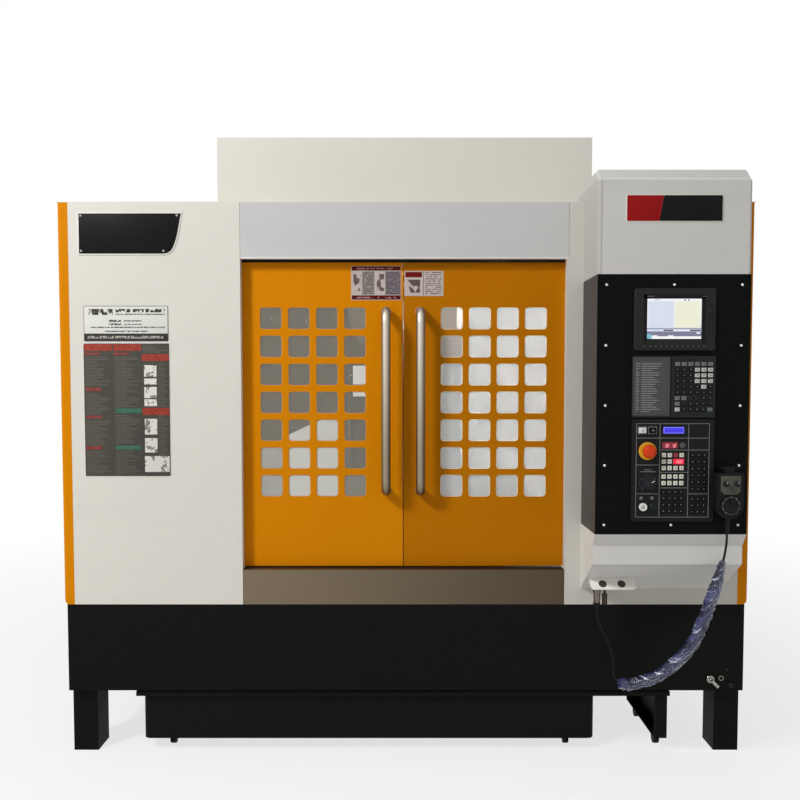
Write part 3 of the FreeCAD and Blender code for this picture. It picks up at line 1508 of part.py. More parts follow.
def electrical_cabinet():
    """Cabinet on the rear panel with its drive modules; the door is separate."""
    w = cabinet_half_width
    d0 = enclosure_depth
    d1 = enclosure_depth + cabinet_depth
    t = cabinet_sheet
    z0 = cabinet_bottom_z
    z1 = cabinet_top_z
    left = block(-w, -w + t, d0, d1, z0, z1)
    right = block(w - t, w, d0, d1, z0, z1)
    bottom = block(-w + t, w - t, d0, d1, z0, z0 + t)
    top = block(-w + t, w - t, d0, d1, z1 - t, z1)
    plate = block(-w + t, w - t, d0, d0 + t, z0 + t, z1 - t)
    drives = []
    for k in range(drive_count):
        x = -w + drive_inset + k * (drive_width + 22)
        drives.append(block(x, x + drive_width, d0 + t, d0 + t + drive_depth, z1 - drive_drop - drive_height, z1 - drive_drop))
    duct = block(-w + duct_inset, w - duct_inset, d0 + t, d0 + t + duct_size, z0 + duct_lift,
                 z0 + duct_lift + duct_size)
    knuckles = []
    for z in hinge_places():
        leaf = block(w, w + hinge_sheet, d1 - 40, d1 - hinge_radius, z, z + hinge_length)
        bridge = block(w, w + hinge_radius, d1 - 2 * hinge_radius, d1 - hinge_radius, z, z + hinge_length)
        knuckles.append(fused(leaf, [bridge, hinge_knuckle(z)]))
    return group([left, right, bottom, top, plate] + drives + [duct] + knuckles)


def cabinet_door():
    """Cabinet door pan with its swing latch, hinged on the right."""
    w = cabinet_half_width
    d0 = enclosure_depth + cabinet_depth + cabinet_door_gap
    d1 = d0 + cabinet_door_sheet
    t = cabinet_sheet
    leaf = block(-w, w, d0, d1, cabinet_bottom_z, cabinet_top_z)
    leaf = leaf.cut(block(-w + t, w - t, d0, d1 - t, cabinet_bottom_z + t, cabinet_top_z - t))
    middle = (cabinet_bottom_z + cabinet_top_z) / 2
    latch = rounded_y(-w + 40, -w + 66, middle - 60, middle + 60, d1, d1 + latch_reach, 6)
    knuckles = [hinge_knuckle(z + hinge_length + hinge_gap) for z in hinge_places()]
    tabs = [block(w - 5, w + hinge_radius, d0 + hinge_radius - 3, d0 + hinge_radius, z + hinge_length + hinge_gap,
                  z + 2 * hinge_length + hinge_gap) for z in hinge_places()]
    return fused(leaf, [latch] + tabs + knuckles)


def work_lamp():
    """LED work lamp under the roof, behind the header."""
    z1 = panel_top_z - lamp_drop
    z0 = z1 - lamp_height
    case = prism_x([(lamp_d, z1), (lamp_d, z0 + 10), (lamp_d + 10, z0), (lamp_d + lamp_depth - 10, z0),
                    (lamp_d + lamp_depth, z0 + 10), (lamp_d + lamp_depth, z1)], lamp_left_x, lamp_right_x)
    hangers = [block(x, x + 40, lamp_d + 20, lamp_d + 26, z1, panel_top_z)
               for x in (lamp_left_x + 30, lamp_right_x - 70)]
    return fused(case, hangers)


def cup_y(x, d0, d1, z, radius, bore, floor):
    """A round cup open to the front, with a floor at its back."""
    return rod_y(x, d0, d1, z, radius, bar_sides).cut(rod_y(x, d0, d1 - floor, z, bore, bar_sides))


def air_fittings():
    """Air inlet with a pin and a slanting elbow, two ports and a screw, low on the apron's right."""
    d1 = apron_inset
    d0 = d1 - valve_length
    valve = cup_y(valve_x, d0, d1, valve_z, valve_radius, valve_bore, valve_floor)
    pin = rod_y(valve_x, d0 + 2, d1 - valve_floor, valve_z, valve_pin_radius, bar_sides)
    elbow = rod_x(valve_x + elbow_start, valve_x + elbow_start + elbow_length, d0 + elbow_radius + 2, valve_z,
                  elbow_radius, bar_sides)
    elbow.rotate(V(valve_x, 0, valve_z), Y_AXIS, 45)
    elbow = elbow.cut(rod_y(valve_x, d0, d1 - valve_floor, valve_z, valve_bore, bar_sides))
    port = cup_y(valve_x + port_offset_x, d1 - port_length, d1, valve_z + port_offset_z, port_radius, port_bore, 2)
    hose_port = rod_y(valve_x + hose_port_offset_x, d1 - hose_port_length, d1, valve_z + hose_port_offset_z,
                      hose_port_radius, bar_sides)
    screw = rod_y(valve_x + tray_screw_offset_x, d1 - 3, d1, valve_z + tray_screw_offset_z, tray_screw_radius,
                  bar_sides)
    return group([fused(valve, [pin, elbow]), port, hose_port, screw])


# ---------------------------------------------------------------- nodes

NODES = {
    "front_panel_left": front_panel_left,
    "header_panel": header_panel,
    "front_panel_right": front_panel_right,
    "corner_strips": lambda: group([corner_strip(-1), corner_strip(1)]),
    "side_panel_left": lambda: side_panel(-1),
    "side_panel_right": lambda: side_panel(1),
    "roof_panel": roof_panel,
    "top_hood": top_hood,
    "rear_panel": rear_panel,
    "steel_skirt": steel_skirt,
    "base_apron": base_apron,
    "base_frame": base_frame,
    "chamber_liner": chamber_liner,
    "base_casting": base_casting,
    "leveling_feet": leveling_feet,
    "column": column,
    "guide_rails": guide_rails,
    "servo_motors": servo_motors,
    "front_bellows": lambda: bellows(bellows_front_d, saddle_front_d - 0.5),
    "rear_bellows": lambda: bellows(saddle_rear_d + 0.5, bellows_rear_d),
    "saddle": saddle,
    "work_table": work_table,
    "spindle_head": spindle_head,
    "spindle": spindle,
    "tool_turret": tool_turret,
    "x_ball_screw": lambda: ball_screw(V(-saddle_half_length, spindle_d, x_screw_z), X_AXIS, 2 * saddle_half_length),
    "y_ball_screw": lambda: ball_screw(V(0, base_bed_front_d, y_screw_z), Y_AXIS, column_front_d - base_bed_front_d),
    "z_ball_screw": lambda: ball_screw(V(0, z_screw_d, z_screw_low_z), Z_AXIS, column_top_z - z_screw_low_z),
    "door_left_panel": lambda: door_panel(-1),
    "door_left_glass": lambda: door_glass(-1),
    "door_left_handle": lambda: door_handle(-1),
    "door_right_panel": lambda: door_panel(1),
    "door_right_glass": lambda: door_glass(1),
    "door_right_handle": lambda: door_handle(1),
    "console_housing": console_housing,
    "control_box": control_box,
    "control_plate": control_plate,
    "plate_screws": plate_screws,
    "display_unit": display_unit,
    "keypad_unit": keypad_unit,
    "operator_panel": operator_panel,
    "estop_button": estop_button,
    "override_knob": override_knob,
    "power_on_button": lambda: power_button(0),
    "power_off_button": lambda: power_button(1),
    "cycle_start_button": cycle_start_button,
    "pendant_body": pendant_body,
    "pendant_handwheel": pendant_handwheel,
    "pendant_axis_knob": lambda: pendant_knob(-1),
    "pendant_rate_knob": lambda: pendant_knob(1),
    "connector_bracket": connector_bracket,
    "cord_plug": cord_plug,
    "cord_upper": lambda: tube(upper_lead, cord_radius, cord_sides, "upper lead"),
    "cord_sleeve": cord_sleeve,
    "cord_lower": lambda: tube(lower_lead, cord_radius, cord_sides, "lower lead"),
    "coolant_tank": coolant_tank,
    "electrical_cabinet": electrical_cabinet,
    "cabinet_door": cabinet_door,
    "work_lamp": work_lamp,
    "air_fittings": air_fittings,
}

os.makedirs("parts", exist_ok=True)
for name, build in NODES.items():
    shape = build()
    if not shape.isValid():
        raise ValueError(name + " is not valid")
    shape.exportStep(os.path.join("parts", name + ".step"))
print(len(NODES), "nodes")
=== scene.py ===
import math
from functools import cached_property

import bmesh
import bpy
from mathutils import Matrix, Vector, noise


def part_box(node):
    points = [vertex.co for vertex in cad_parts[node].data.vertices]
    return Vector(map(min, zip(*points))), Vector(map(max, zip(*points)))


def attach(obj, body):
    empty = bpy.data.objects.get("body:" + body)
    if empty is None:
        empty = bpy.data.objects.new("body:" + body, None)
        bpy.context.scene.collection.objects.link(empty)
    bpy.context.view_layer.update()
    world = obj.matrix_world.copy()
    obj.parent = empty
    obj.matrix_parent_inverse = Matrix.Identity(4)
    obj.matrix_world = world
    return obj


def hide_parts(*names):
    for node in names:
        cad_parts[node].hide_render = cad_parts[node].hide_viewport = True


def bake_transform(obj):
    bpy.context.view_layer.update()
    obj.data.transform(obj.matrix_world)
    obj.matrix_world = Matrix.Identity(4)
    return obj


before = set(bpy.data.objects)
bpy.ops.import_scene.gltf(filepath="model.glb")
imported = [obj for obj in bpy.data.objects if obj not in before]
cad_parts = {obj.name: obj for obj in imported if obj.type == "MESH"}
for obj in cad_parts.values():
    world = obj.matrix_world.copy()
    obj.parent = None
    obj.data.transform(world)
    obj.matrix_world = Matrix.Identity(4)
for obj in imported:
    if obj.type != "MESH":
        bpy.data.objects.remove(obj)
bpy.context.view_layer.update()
bpy.context.scene.view_settings.view_transform = "Standard"


# ---------------- camera
# Square to the front, 2.75 m before the panels and at chest height, tilted a little down.

def placed(name, data):
    """A new object in the scene."""
    thing = bpy.data.objects.new(name, data)
    bpy.context.collection.objects.link(thing)
    return thing


lens = bpy.data.cameras.new("front_view")
lens.sensor_width = 36
lens.lens = 36.675
lens.shift_x = -0.00375
lens.shift_y = 0.02675
camera = placed("front_view", lens)
camera.location = (-0.010, -3.627, 1.276)
camera.rotation_euler = (math.radians(87.3), 0, 0)
bpy.context.scene.camera = camera


# ---------------- pendant cable
# A black rubber lead hangs from the pendant, runs as a curly cord inside a loose film sleeve,
# and comes out of the sleeve's gathered end as a thin lead that goes up to its round connector.

front_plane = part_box("header_panel")[0].y * 1000


def at(x, d, z):
    """A place in metres, from millimetres across, back from the front sheets, and up."""
    return Vector((x, d + front_plane, z)) / 1000


def shade(tint, by=1):
    """The shader's colour for one that the eye reads as these amounts of 255, made darker or lighter."""
    linear = [c / 255 / 12.92 if c < 11 else ((c / 255 + 0.055) / 1.055) ** 2.4 for c in tint]
    return tuple(min(1, c * by) for c in linear) + (1,)


def operator(operation, swapped=False):
    """An operator of a signal, which adds a Math node."""
    def apply(first, second=0):
        return first.sum(operation, *((second, first) if swapped else (first, second)))
    return apply


class Signal:
    """A value on its way through a finish; sums on it add Math nodes."""

    def __init__(self, tree, socket=None):
        self.tree = tree
        self.socket = socket

    def node(self, kind, settings=None, inputs=None, output=0):
        """Adds one node; its settings go in first, then the values or links of its sockets."""
        added = self.tree.nodes.new("ShaderNode" + kind)
        for name, setting in (settings or {}).items():
            setattr(added, name, setting)
        for name, value in (inputs or {}).items():
            if isinstance(value, Signal):
                self.tree.links.new(value.socket, added.inputs[name])
            else:
                added.inputs[name].default_value = value
        return Signal(self.tree, added.outputs[output] if added.outputs else None)

    def sum(self, operation, first, second=0):
        return self.node("Math", {"operation": operation}, {0: first, 1: second})

    __add__ = __radd__ = operator("ADD")
    __sub__, __rsub__ = operator("SUBTRACT"), operator("SUBTRACT", swapped=True)
    __mul__ = __rmul__ = operator("MULTIPLY")
    __truediv__ = operator("DIVIDE")
    __gt__, __lt__ = operator("GREATER_THAN"), operator("LESS_THAN")
    __abs__, __floor__ = operator("ABSOLUTE"), operator("FLOOR")

    def mix(self, plain, full):
        """The first colour where this is 0 and the second where it is 1."""
        return self.node("Mix", {"data_type": "RGBA"}, {0: self, 6: plain, 7: full}, 2)

    def tinge(self, tint, low, high):
        """This much of a tint where this is 0, and that much where it is 1."""
        return self.mix(shade(tint, low), shade(tint, high))

    def soft(self, low, high):
        """0 below the low limit and 1 above the high one, with a smooth change between."""
        return self.node("MapRange", {"interpolation_type": "SMOOTHSTEP"},
                         {"Value": self, "From Min": low, "From Max": high})

    def between(self, low, high):
        """1 inside the two limits and 0 outside."""
        return (self > low) * (self < high)

    def part(self, axis):
        """One of the three numbers of a place or direction."""
        return self.node("SeparateXYZ", {}, {0: self}, axis)

    @cached_property
    def across(self):
        """How far to the right a place is, in millimetres."""
        return self.part(0) * 1000

    @cached_property
    def height(self):
        """How far up a place is, in millimetres."""
        return self.part(2) * 1000

    def within(self, x0, x1, z0, z1):
        """1 where a place is between these limits across and up, in millimetres, and 0 elsewhere."""
        return self.across.between(x0, x1) * self.height.between(z0, z1)

    def stretched(self, across, deep, up):
        """The place with each of its three directions scaled, which draws a pattern out."""
        return self.node("Mapping", {}, {"Vector": self, "Scale": (across, deep, up)})

    def grain(self, scale, detail=2, rough=0.5):
        """Noise of so many spots in a metre."""
        return self.node("TexNoise", {}, {"Vector": self, "Scale": scale, "Detail": detail,
                                          "Roughness": rough})

    def relief(self, depth, strength=1):
        """A normal with this value as its height, the depth in millimetres."""
        return self.node("Bump", {}, {"Height": self, "Distance": depth / 1000, "Strength": strength})


def begin(name):
    """A new empty finish, as the signal of a place on its piece."""
    finish = bpy.data.materials.new(name)
    finish.use_nodes = True
    finish.node_tree.nodes.clear()
    place = Signal(finish.node_tree).node("TexCoord", output="Object")
    place.finish = finish
    return place


shader_sockets = {
    "tint": "Base Color", "rough": "Roughness", "metal": "Metallic", "sheen": "Specular IOR Level",
    "alpha": "Alpha", "coat": "Coat Weight", "coat_rough": "Coat Roughness", "normal": "Normal",
    "glow": "Emission Color", "power": "Emission Strength"}


def surface(place, **values):
    """Ends a finish in one shader with these values."""
    shader = place.node("BsdfPrincipled", {}, {shader_sockets[name]: value for name, value in values.items()})
    place.node("OutputMaterial", {}, {"Surface": shader})
    return place.finish


def rubber(name, tint, peel=900):
    """Moulded or extruded rubber and matt plastic, with a fine grain and handling shine."""
    place = begin(name)
    rubbed = place.grain(22, 4)
    return surface(place, tint=rubbed.tinge(tint, 0.78, 1.25), rough=0.42 + 0.22 * rubbed,
                   sheen=0.12, normal=place.grain(peel).relief(0.12, 0.5))


def film(name, dark, light, painted_glint):
    """Thin packing film in long twisted creases, half seen through, with painted highlights in the glint
    colour along the creases; it reads the lay of its own surface.
    """
    place = begin(name)
    lay = place.node("Attribute", {"attribute_name": "lay"}, output=1)
    cloud = lay.grain(1.1, 3)
    fold = abs(lay.grain(1.6, 4, 0.6) - 0.5)
    lines = (1 - fold.soft(0.006, 0.035)) * lay.grain(2.7).soft(0.42, 0.6)
    return surface(place, tint=lines.mix(cloud.soft(0.35, 0.7).mix(shade(dark), shade(light)), shade(painted_glint)),
                   rough=0.14 + 0.16 * cloud, alpha=0.82 + 0.1 * cloud + 0.1 * lines, sheen=0.4,
                   coat=0.45, coat_rough=0.05, normal=fold.relief(9, 0.9))


def through(route, cuts):
    """A denser route that passes through every one of these points."""
    points = [Vector(p) for p in route]
    points = [points[0] * 2 - points[1]] + points + [points[-1] * 2 - points[-2]]
    dense = []
    for a, b, c, d in zip(points, points[1:], points[2:], points[3:]):
        for k in range(cuts):
            t = k / cuts
            dense.append(0.5 * (2 * b + (c - a) * t + (2 * a - 5 * b + 4 * c - d) * t * t
                                + (3 * b - a - 3 * c + d) * t ** 3))
    return dense + [points[-2]]


def tubing(name, kind, radius, fine, section):
    """A curve that carries a round section, its radius in millimetres, and its one empty spline."""
    line = bpy.data.curves.new(name, "CURVE")
    line.dimensions = "3D"
    line.bevel_depth = radius / 1000
    line.bevel_resolution = section
    line.use_fill_caps = True
    spline = line.splines.new(kind)
    spline.resolution_u = fine
    return placed(name, line), spline


def routed(name, route, radius=0, widths=None, fine=12):
    """A NURBS curve through a cable's route, in millimetres, with a round section."""
    piece, spline = tubing(name, "NURBS", radius, fine, 5)
    spline.points.add(len(route) - 1)
    for k, (point, place) in enumerate(zip(spline.points, route)):
        point.co = (*at(*place), 1)
        point.radius = widths[k] if widths else 1
    spline.order_u = 3
    spline.use_endpoint_u = True
    return piece


def meshed(piece):
    """The mesh that a curve makes, taken off it."""
    return bpy.data.meshes.new_from_object(piece.evaluated_get(bpy.context.evaluated_depsgraph_get()))


def finished(piece, finish, slot, *nodes, body="machine"):
    """Gives a piece its finish and its body, and hides the CAD nodes that it stands for."""
    piece.data.materials.clear()
    piece.data.materials.append(finish)
    if nodes:
        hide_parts(*nodes)
    if body:
        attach(piece, body)
    return piece


def piece_of(name, shape, finish, slot, *nodes, body="machine", crease=32):
    """Closes a mesh, turns its faces outwards and makes it a piece on a body."""
    bmesh.ops.remove_doubles(shape, verts=shape.verts, dist=2e-6)
    bmesh.ops.recalc_face_normals(shape, faces=shape.faces)
    mesh = bpy.data.meshes.new(name)
    shape.to_mesh(mesh)
    shape.free()
    mesh.shade_smooth()
    mesh.set_sharp_from_angle(angle=math.radians(crease))
    return finished(placed(name, mesh), finish, slot, *nodes, body=body)


def turned(centre, profile, steps, axis=(0, -1, 0), into=None):
    """Spins a profile of (along, radius) steps, in millimetres, round an axis. Its two ends are closed with
    flat faces, unless it is a ring that ends where it starts. It goes into the mesh that is given, if any."""
    shape = into or bmesh.new()
    if profile[0] != profile[-1]:
        first, last = ([(along, 0)] if radius else [] for along, radius in (profile[0], profile[-1]))
        profile = first + profile + last
    axis = Vector(axis).normalized()
    side = axis.orthogonal().normalized()
    line = [shape.verts.new(centre + (axis * along + side * radius) / 1000) for along, radius in profile]
    edges = [shape.edges.new(pair) for pair in zip(line, line[1:])]
    bmesh.ops.spin(shape, geom=line + edges, cent=centre, axis=axis, dvec=(0, 0, 0),
                   angle=2 * math.pi, steps=steps, use_merge=True)
    return shape


cable_black = rubber("cable_rubber", (22, 22, 24))
lead_radius = 3.5
upper_route = [(1002, -223.4, 804.3), (1002, -223.4, 759), (993, -218, 715)]
upper_lead = finished(routed("pendant_lead", upper_route, lead_radius), cable_black, "cable_rubber",
                      "cord_upper")

# The sleeve: a loose tube of film, tied thin at its top, gathered in folds round its open end.
# The third colour is painted glints along the creases.
sleeve_film = film("sleeve_film", (24, 27, 58), (78, 82, 132), (222, 226, 242))
sleeve_route = [
    (993, -218, 715), (979, -209.6, 646.4), (964, -200.5, 586), (944, -188, 514), (916, -176, 440),
    (866, -158, 370), (806, -139, 318), (748, -122, 292), (712, -115, 287)]
sleeve_run = through(sleeve_route, 4)
middle = routed("sleeve_middle", sleeve_run, fine=10)
sleeve_path = [v.co.copy() for v in meshed(middle).vertices]
sleeve_radius = 20.5
widths = [0.46, 0.62, 0.76, 0.87, 0.94, 0.98] + [1] * 18 + [0.97] * 4 + [0.98] * 3 + [1.02, 1.04]
wide = routed("sleeve_wide", sleeve_run, sleeve_radius, widths, fine=10)
tube = bmesh.new()
tube.from_mesh(meshed(wide))
bmesh.ops.remove_doubles(tube, verts=tube.verts, dist=1e-6)
bmesh.ops.subdivide_edges(tube, edges=tube.edges[:], cuts=1, smooth=1)
bmesh.ops.recalc_face_normals(tube, faces=tube.faces)
tube.normal_update()
lay = []
for corner in tube.verts:
    near = min(range(len(sleeve_path)), key=lambda k: (sleeve_path[k] - corner.co).length_squared)
    run = near / len(sleeve_path)
    out = corner.co - sleeve_path[near]
    turn = math.atan2(out.z, out.x) + 12 * run
    spot = Vector((math.cos(turn) * 1.5, math.sin(turn) * 1.5, 3.4 * run))
    crease = 1 - 2.6 * abs(noise.noise(spot * 1.5)) - 1.2 * abs(noise.noise(spot * 3.7))
    gather = (math.sin(11 * turn) * 1.4 * max(0, (run - 0.93) / 0.07)
              + math.sin(9 * turn) * 1.2 * max(0, 1 - run / 0.09))
    lay.append(spot)
    if out.length > 0.004:
        corner.co += out.normalized() * (2.6 * (max(crease, -0.6) - 1) + 1 + gather) / 1000
sleeve = piece_of("cable_sleeve", tube, sleeve_film, "sleeve_film", "cord_sleeve", crease=80)
sleeve.data.attributes.new("lay", "FLOAT_VECTOR", "POINT")
sleeve.data.attributes["lay"].data.foreach_set("vector", [value for spot in lay for value in spot])

# The curly cord that shows dark through the film: one long helix of the same lead.
turns, steps_in_turn, coil_radius, strand_radius = 56, 12, 8, 2.9
helix = []
for k in range(turns * steps_in_turn + 1):
    along = 0.05 + 0.90 * k / (turns * steps_in_turn)
    spot = along * (len(sleeve_path) - 1)
    low = min(int(spot), len(sleeve_path) - 2)
    here = sleeve_path[low].lerp(sleeve_path[low + 1], spot - low)
    ahead = (sleeve_path[min(low + 6, len(sleeve_path) - 1)] - sleeve_path[max(low - 6, 0)]).normalized()
    side = ahead.cross(Vector((0, 1, 0))).normalized()
    lift = side.cross(ahead)
    angle = 2 * math.pi * k / steps_in_turn
    spot = here + (side * math.cos(angle) + lift * math.sin(angle)) * coil_radius / 1000
    helix.append((spot.x * 1000, spot.y * 1000 - front_plane, spot.z * 1000))
coil = routed("curly_cord", helix, strand_radius, fine=2)
coil.data.bevel_resolution = 2
finished(coil, cable_black, "cable_rubber")

neck = sleeve_path[int(len(sleeve_path) * 0.035)]
down = (sleeve_path[int(len(sleeve_path) * 0.06)] - sleeve_path[0]).normalized()
tie = turned(neck, [(-2.6, 10.4), (-1.8, 11.4), (1.8, 11.4), (2.6, 10.4)], 28, down)
sleeve_tie = piece_of("sleeve_tie", tie, cable_black, "cable_rubber")
for helper in (middle, wide):
    bpy.data.objects.remove(helper)

lower_route = [(710.4, -114.7, 298.8), (695.8, -111.9, 296.8), (683.9, -109.5, 308.7), (683, -108, 329.7),
               (682.5, -104, 362), (676, -99, 400), (655, -93, 446), (630, -88, 498), (630, -88, 530)]
lower_lead = finished(routed("connector_lead", lower_route, lead_radius), cable_black, "cable_rubber",
                      "cord_lower")


def plated(name, tint, rough=0.22, metal=1):
    """Bright metal: nickel, chrome or polished steel, lightly clouded, with a faint drag round the part."""
    place = begin(name)
    cloud = place.grain(60, 4)
    drag = place.stretched(40, 40, 900).grain(1, 3)
    return surface(place, tint=cloud.tinge(tint, 0.86, 1.08), metal=metal,
                   rough=rough + 0.14 * cloud, normal=drag.relief(0.05, 0.3))


# The round connector: coupling nut with grip ribs, barrel, and a dark back nut that holds the lead.
nickel = plated("nickel_plate", (176, 172, 164), 0.2)
plug = turned(at(630, -88, 597), [
    (0, 11.5), (0.6, 12.6), (3, 12.6), (3.4, 12), (4.2, 12), (4.6, 12.8), (6.6, 12.8), (7, 12),
    (8, 12), (8.4, 12.8), (11, 12.8), (11.8, 12), (12.2, 10.2), (18, 10.2), (18.4, 10.9), (38, 10.9),
    (38.6, 10.2), (40.4, 10.2), (40.6, 10.9), (52.4, 10.9), (53.2, 10)], 48, (0, 0, -1))
connector = piece_of("cable_connector", plug, plated("plug_nickel", (118, 110, 100), 0.18), "nickel",
                     "cord_plug", crease=28)
back_nut = turned(at(630, -88, 553), [
    (0, 11.4), (1, 11.6), (9.4, 11.4), (9.8, 9.8), (17.2, 9.4), (19.6, 6.4), (22.6, 4.9), (22.8, 0)],
    16, (0, 0, -1))
connector_tail = piece_of("connector_tail", back_nut, cable_black, "cable_rubber", crease=20)


# ---------------- room
# A plain pale floor, white beyond it, and soft lamps that light a colour to about its own value.

def direct(signal):
    """1 on the rays that show the room itself, also mirrored or through glass, and 0 on the others."""
    seen, mirrored, passed = (signal.node("LightPath", output=f"Is {kind} Ray")
                              for kind in ("Camera", "Glossy", "Transmission"))
    return signal.sum("MAXIMUM", seen, signal.sum("MAXIMUM", mirrored, passed))


floor_shape = bmesh.new()
bmesh.ops.create_grid(floor_shape, x_segments=1, y_segments=1, size=9)
floor_mesh = bpy.data.meshes.new("room_floor")
floor_shape.to_mesh(floor_mesh)
floor_shape.free()
floor = placed("room_floor", floor_mesh)
place = begin("room_floor")
far = place.node("VectorMath", {"operation": "LENGTH"}, {0: place}, 1).soft(1.1, 4.6)
pale = place.node("BsdfDiffuse", {}, {"Color": (0.80, 0.80, 0.79, 1)})
white = place.node("Emission", {}, {"Color": (1, 1, 1, 1), "Strength": 1})
ground = place.node("MixShader", {}, {0: direct(place) * (0.72 + 0.28 * far), 1: pale, 2: white})
place.node("OutputMaterial", {}, {"Surface": ground})
floor_mesh.materials.append(place.finish)

room = bpy.data.worlds.new("room")
room.use_nodes = True
room.node_tree.nodes.clear()
bpy.context.scene.world = room
air = Signal(room.node_tree)
up = air.node("TexCoord", output="Generated").part(2)
sky = up.soft(-0.3, 0.8).mix((0.13, 0.13, 0.13, 1), (0.45, 0.45, 0.46, 1))
glow = air.node("Background", {}, {"Color": sky, "Strength": 1})
blank = air.node("Background", {}, {"Color": (1, 1, 1, 1), "Strength": 1})
air.node("OutputWorld", {}, {"Surface": air.node("MixShader", {}, {0: direct(air), 1: glow, 2: blank})})


def lamp(name, place, aim, size, power):
    """A soft square lamp turned to a point."""
    light = bpy.data.lights.new(name, "AREA")
    light.size = size
    light.energy = power
    holder = placed(name, light)
    holder.location = place
    holder.rotation_euler = (Vector(aim) - Vector(place)).to_track_quat("-Z", "Y").to_euler()


lamp("window_light", (-3.15, -3.55, 4.2), (-0.3, -0.9, 1.2), 0.8, 172)
lamp("room_light", (3.4, -4.6, 3.4), (0.4, -0.8, 1.1), 2.4, 6)
lamp("ceiling_light", (0.4, 0.6, 5.2), (0, 0, 1), 2.6, 50)


# ---------------- enclosure sheets
# Folded mild steel sheet, welded at the corners and sprayed with a warm white powder coat;
# the sheets screw to each other behind their folds, and the hood stands on the roof.

def powder_coat(name, tint, gloss=0.36, peel=0.05, clouds=0.05, sheen=0.12, painted_light_and_shade=()):
    """Sprayed and baked powder: a fine orange peel, slow changes of tone, and faint wiping marks. Areas are
    fields of painted light and shade, (x0, x1, z0, z1, how bright) in millimetres."""
    place = begin(name)
    marking_mask = place.stretched(3, 3, 9).grain(1, 5, 0.6)
    tone = place.grain(1.3).tinge(tint, 1 - clouds, 1 + clouds)
    for *limits, bright in painted_light_and_shade:
        tone = place.within(*limits).mix(tone, shade(tint, bright))
    return surface(place, tint=(marking_mask.soft(0.5, 0.85) * 0.35).mix(tone, shade(tint, 0.88)),
                   rough=gloss + 0.12 * marking_mask, sheen=sheen, normal=place.grain(480).relief(peel, 0.6))


def dress(finish, *nodes):
    """Puts a finish on CAD pieces that keep their own shape."""
    for node in nodes:
        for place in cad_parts[node].material_slots:
            place.material = finish


warm_white = powder_coat("warm_white_paint", (221, 218, 208))
# The header is coated a shade greyer than the other sheets; the bright field along its lower edge is a
# painted highlight on its lower lip.
dress(powder_coat("header_paint", (202, 201, 199), painted_light_and_shade=[(-600, 600, 1600, 1697, 1.35)]), "header_panel")
# The right front sheet beside the console is a darker copy of the warm white: painted shade.
dress(powder_coat("right_sheet_painted_shade", (207, 204, 195)), "front_panel_right")
dress(warm_white, "front_panel_left", "side_panel_left", "side_panel_right", "roof_panel", "top_hood",
      "rear_panel")

# Corner trims: sheet folded over each front corner and coated orange, round along the fold.
orange = powder_coat("orange_paint", (214, 131, 1), 0.42, 0.06, 0.06, 0.05)
dress(orange, "corner_strips")


def rounded(shape, edges, offset, segments):
    """Rounds these edges of a mesh, by an offset in millimetres."""
    bmesh.ops.bevel(shape, geom=edges, offset=offset / 1000, offset_type="OFFSET", segments=segments,
                    profile=0.5, affect="EDGES", material=-1)


def block(x0, x1, d0, d1, z0, z1, edge=0, steps=1, into=None):
    """A block between these limits, in millimetres, with its edges rounded."""
    shape = into or bmesh.new()
    corners = bmesh.ops.create_cube(shape, size=1)["verts"]
    low, high = at(x0, d0, z0), at(x1, d1, z1)
    bmesh.ops.scale(shape, vec=high - low, verts=corners)
    bmesh.ops.translate(shape, vec=(low + high) / 2, verts=corners)
    if edge:
        rounded(shape, list(dict.fromkeys(e for v in corners for e in v.link_edges)), edge, steps)
    return shape


def plate(outline, d0, d1, corner=0, edge=0):
    """A flat plate that faces the front, from its outline in (x, z), with rounded corners and edge."""
    shape = bmesh.new()
    ring = [shape.verts.new(at(x, d1, z)) for x, z in outline]
    pulled = bmesh.ops.extrude_face_region(shape, geom=[shape.faces.new(ring)])["geom"]
    lifted = [v for v in pulled if isinstance(v, bmesh.types.BMVert)]
    bmesh.ops.translate(shape, vec=at(0, d0, 0) - at(0, d1, 0), verts=lifted)
    if corner:
        rounded(shape, [e for v in ring for e in v.link_edges if e.other_vert(v) in lifted], corner, 5)
    if edge:
        y = at(0, d0, 0).y
        rim = [e for e in shape.edges if all(abs(v.co.y - y) < 1e-7 for v in e.verts)
               and any(abs(f.calc_center_median().y - y) > 1e-7 for f in e.link_faces)]
        rounded(shape, rim, edge, 2)
    return shape


def oblong(x0, x1, z0, z1):
    """The four corners of a plate."""
    return [(x0, z0), (x1, z0), (x1, z1), (x0, z1)]


def pan_heads(name, places, d, radius, height, finish, *nodes):
    """Round screw heads that face the front, each with a socket."""
    heads = bmesh.new()
    for x, z in places:
        turned(at(x, d, z), [
            (-0.3, radius), (height * 0.35, radius), (height * 0.8, radius * 0.78), (height, radius * 0.48),
            (height * 0.45, radius * 0.44)], 18, into=heads)
    piece_of(name, heads, finish, "nickel", *nodes)


# ---------------- plates on the left sheet
# A bare black name plate on four screws, a small white data plate with rows of broken bars that
# spell nothing, and a grey chart board glued below it; all are thin aluminium, printed.

def printed(name, ground, fields=(), words=(), gloss=0.3):
    """A printed plate: fields are (x0, x1, z0, z1, tint) in millimetres, later ones on top; words are rows of
    plain broken bars, (x0, x1, z0, z1, tint, bars in a metre)."""
    place = begin(name)
    wear = place.grain(14, 4)
    tone = wear.tinge(ground, 0.92, 1.06)
    for *limits, tint in fields:
        tone = place.within(*limits).mix(tone, wear.tinge(tint, 0.94, 1.05))
    for *limits, tint, bars in words:
        breaks = place.stretched(bars, 0, bars * 0.7).grain(1, 1).soft(0.4, 0.5)
        tone = (place.within(*limits) * breaks).mix(tone, shade(tint))
    return surface(place, tint=tone, rough=gloss + 0.15 * wear, sheen=0.06,
                   normal=place.grain(700).relief(0.03, 0.4))


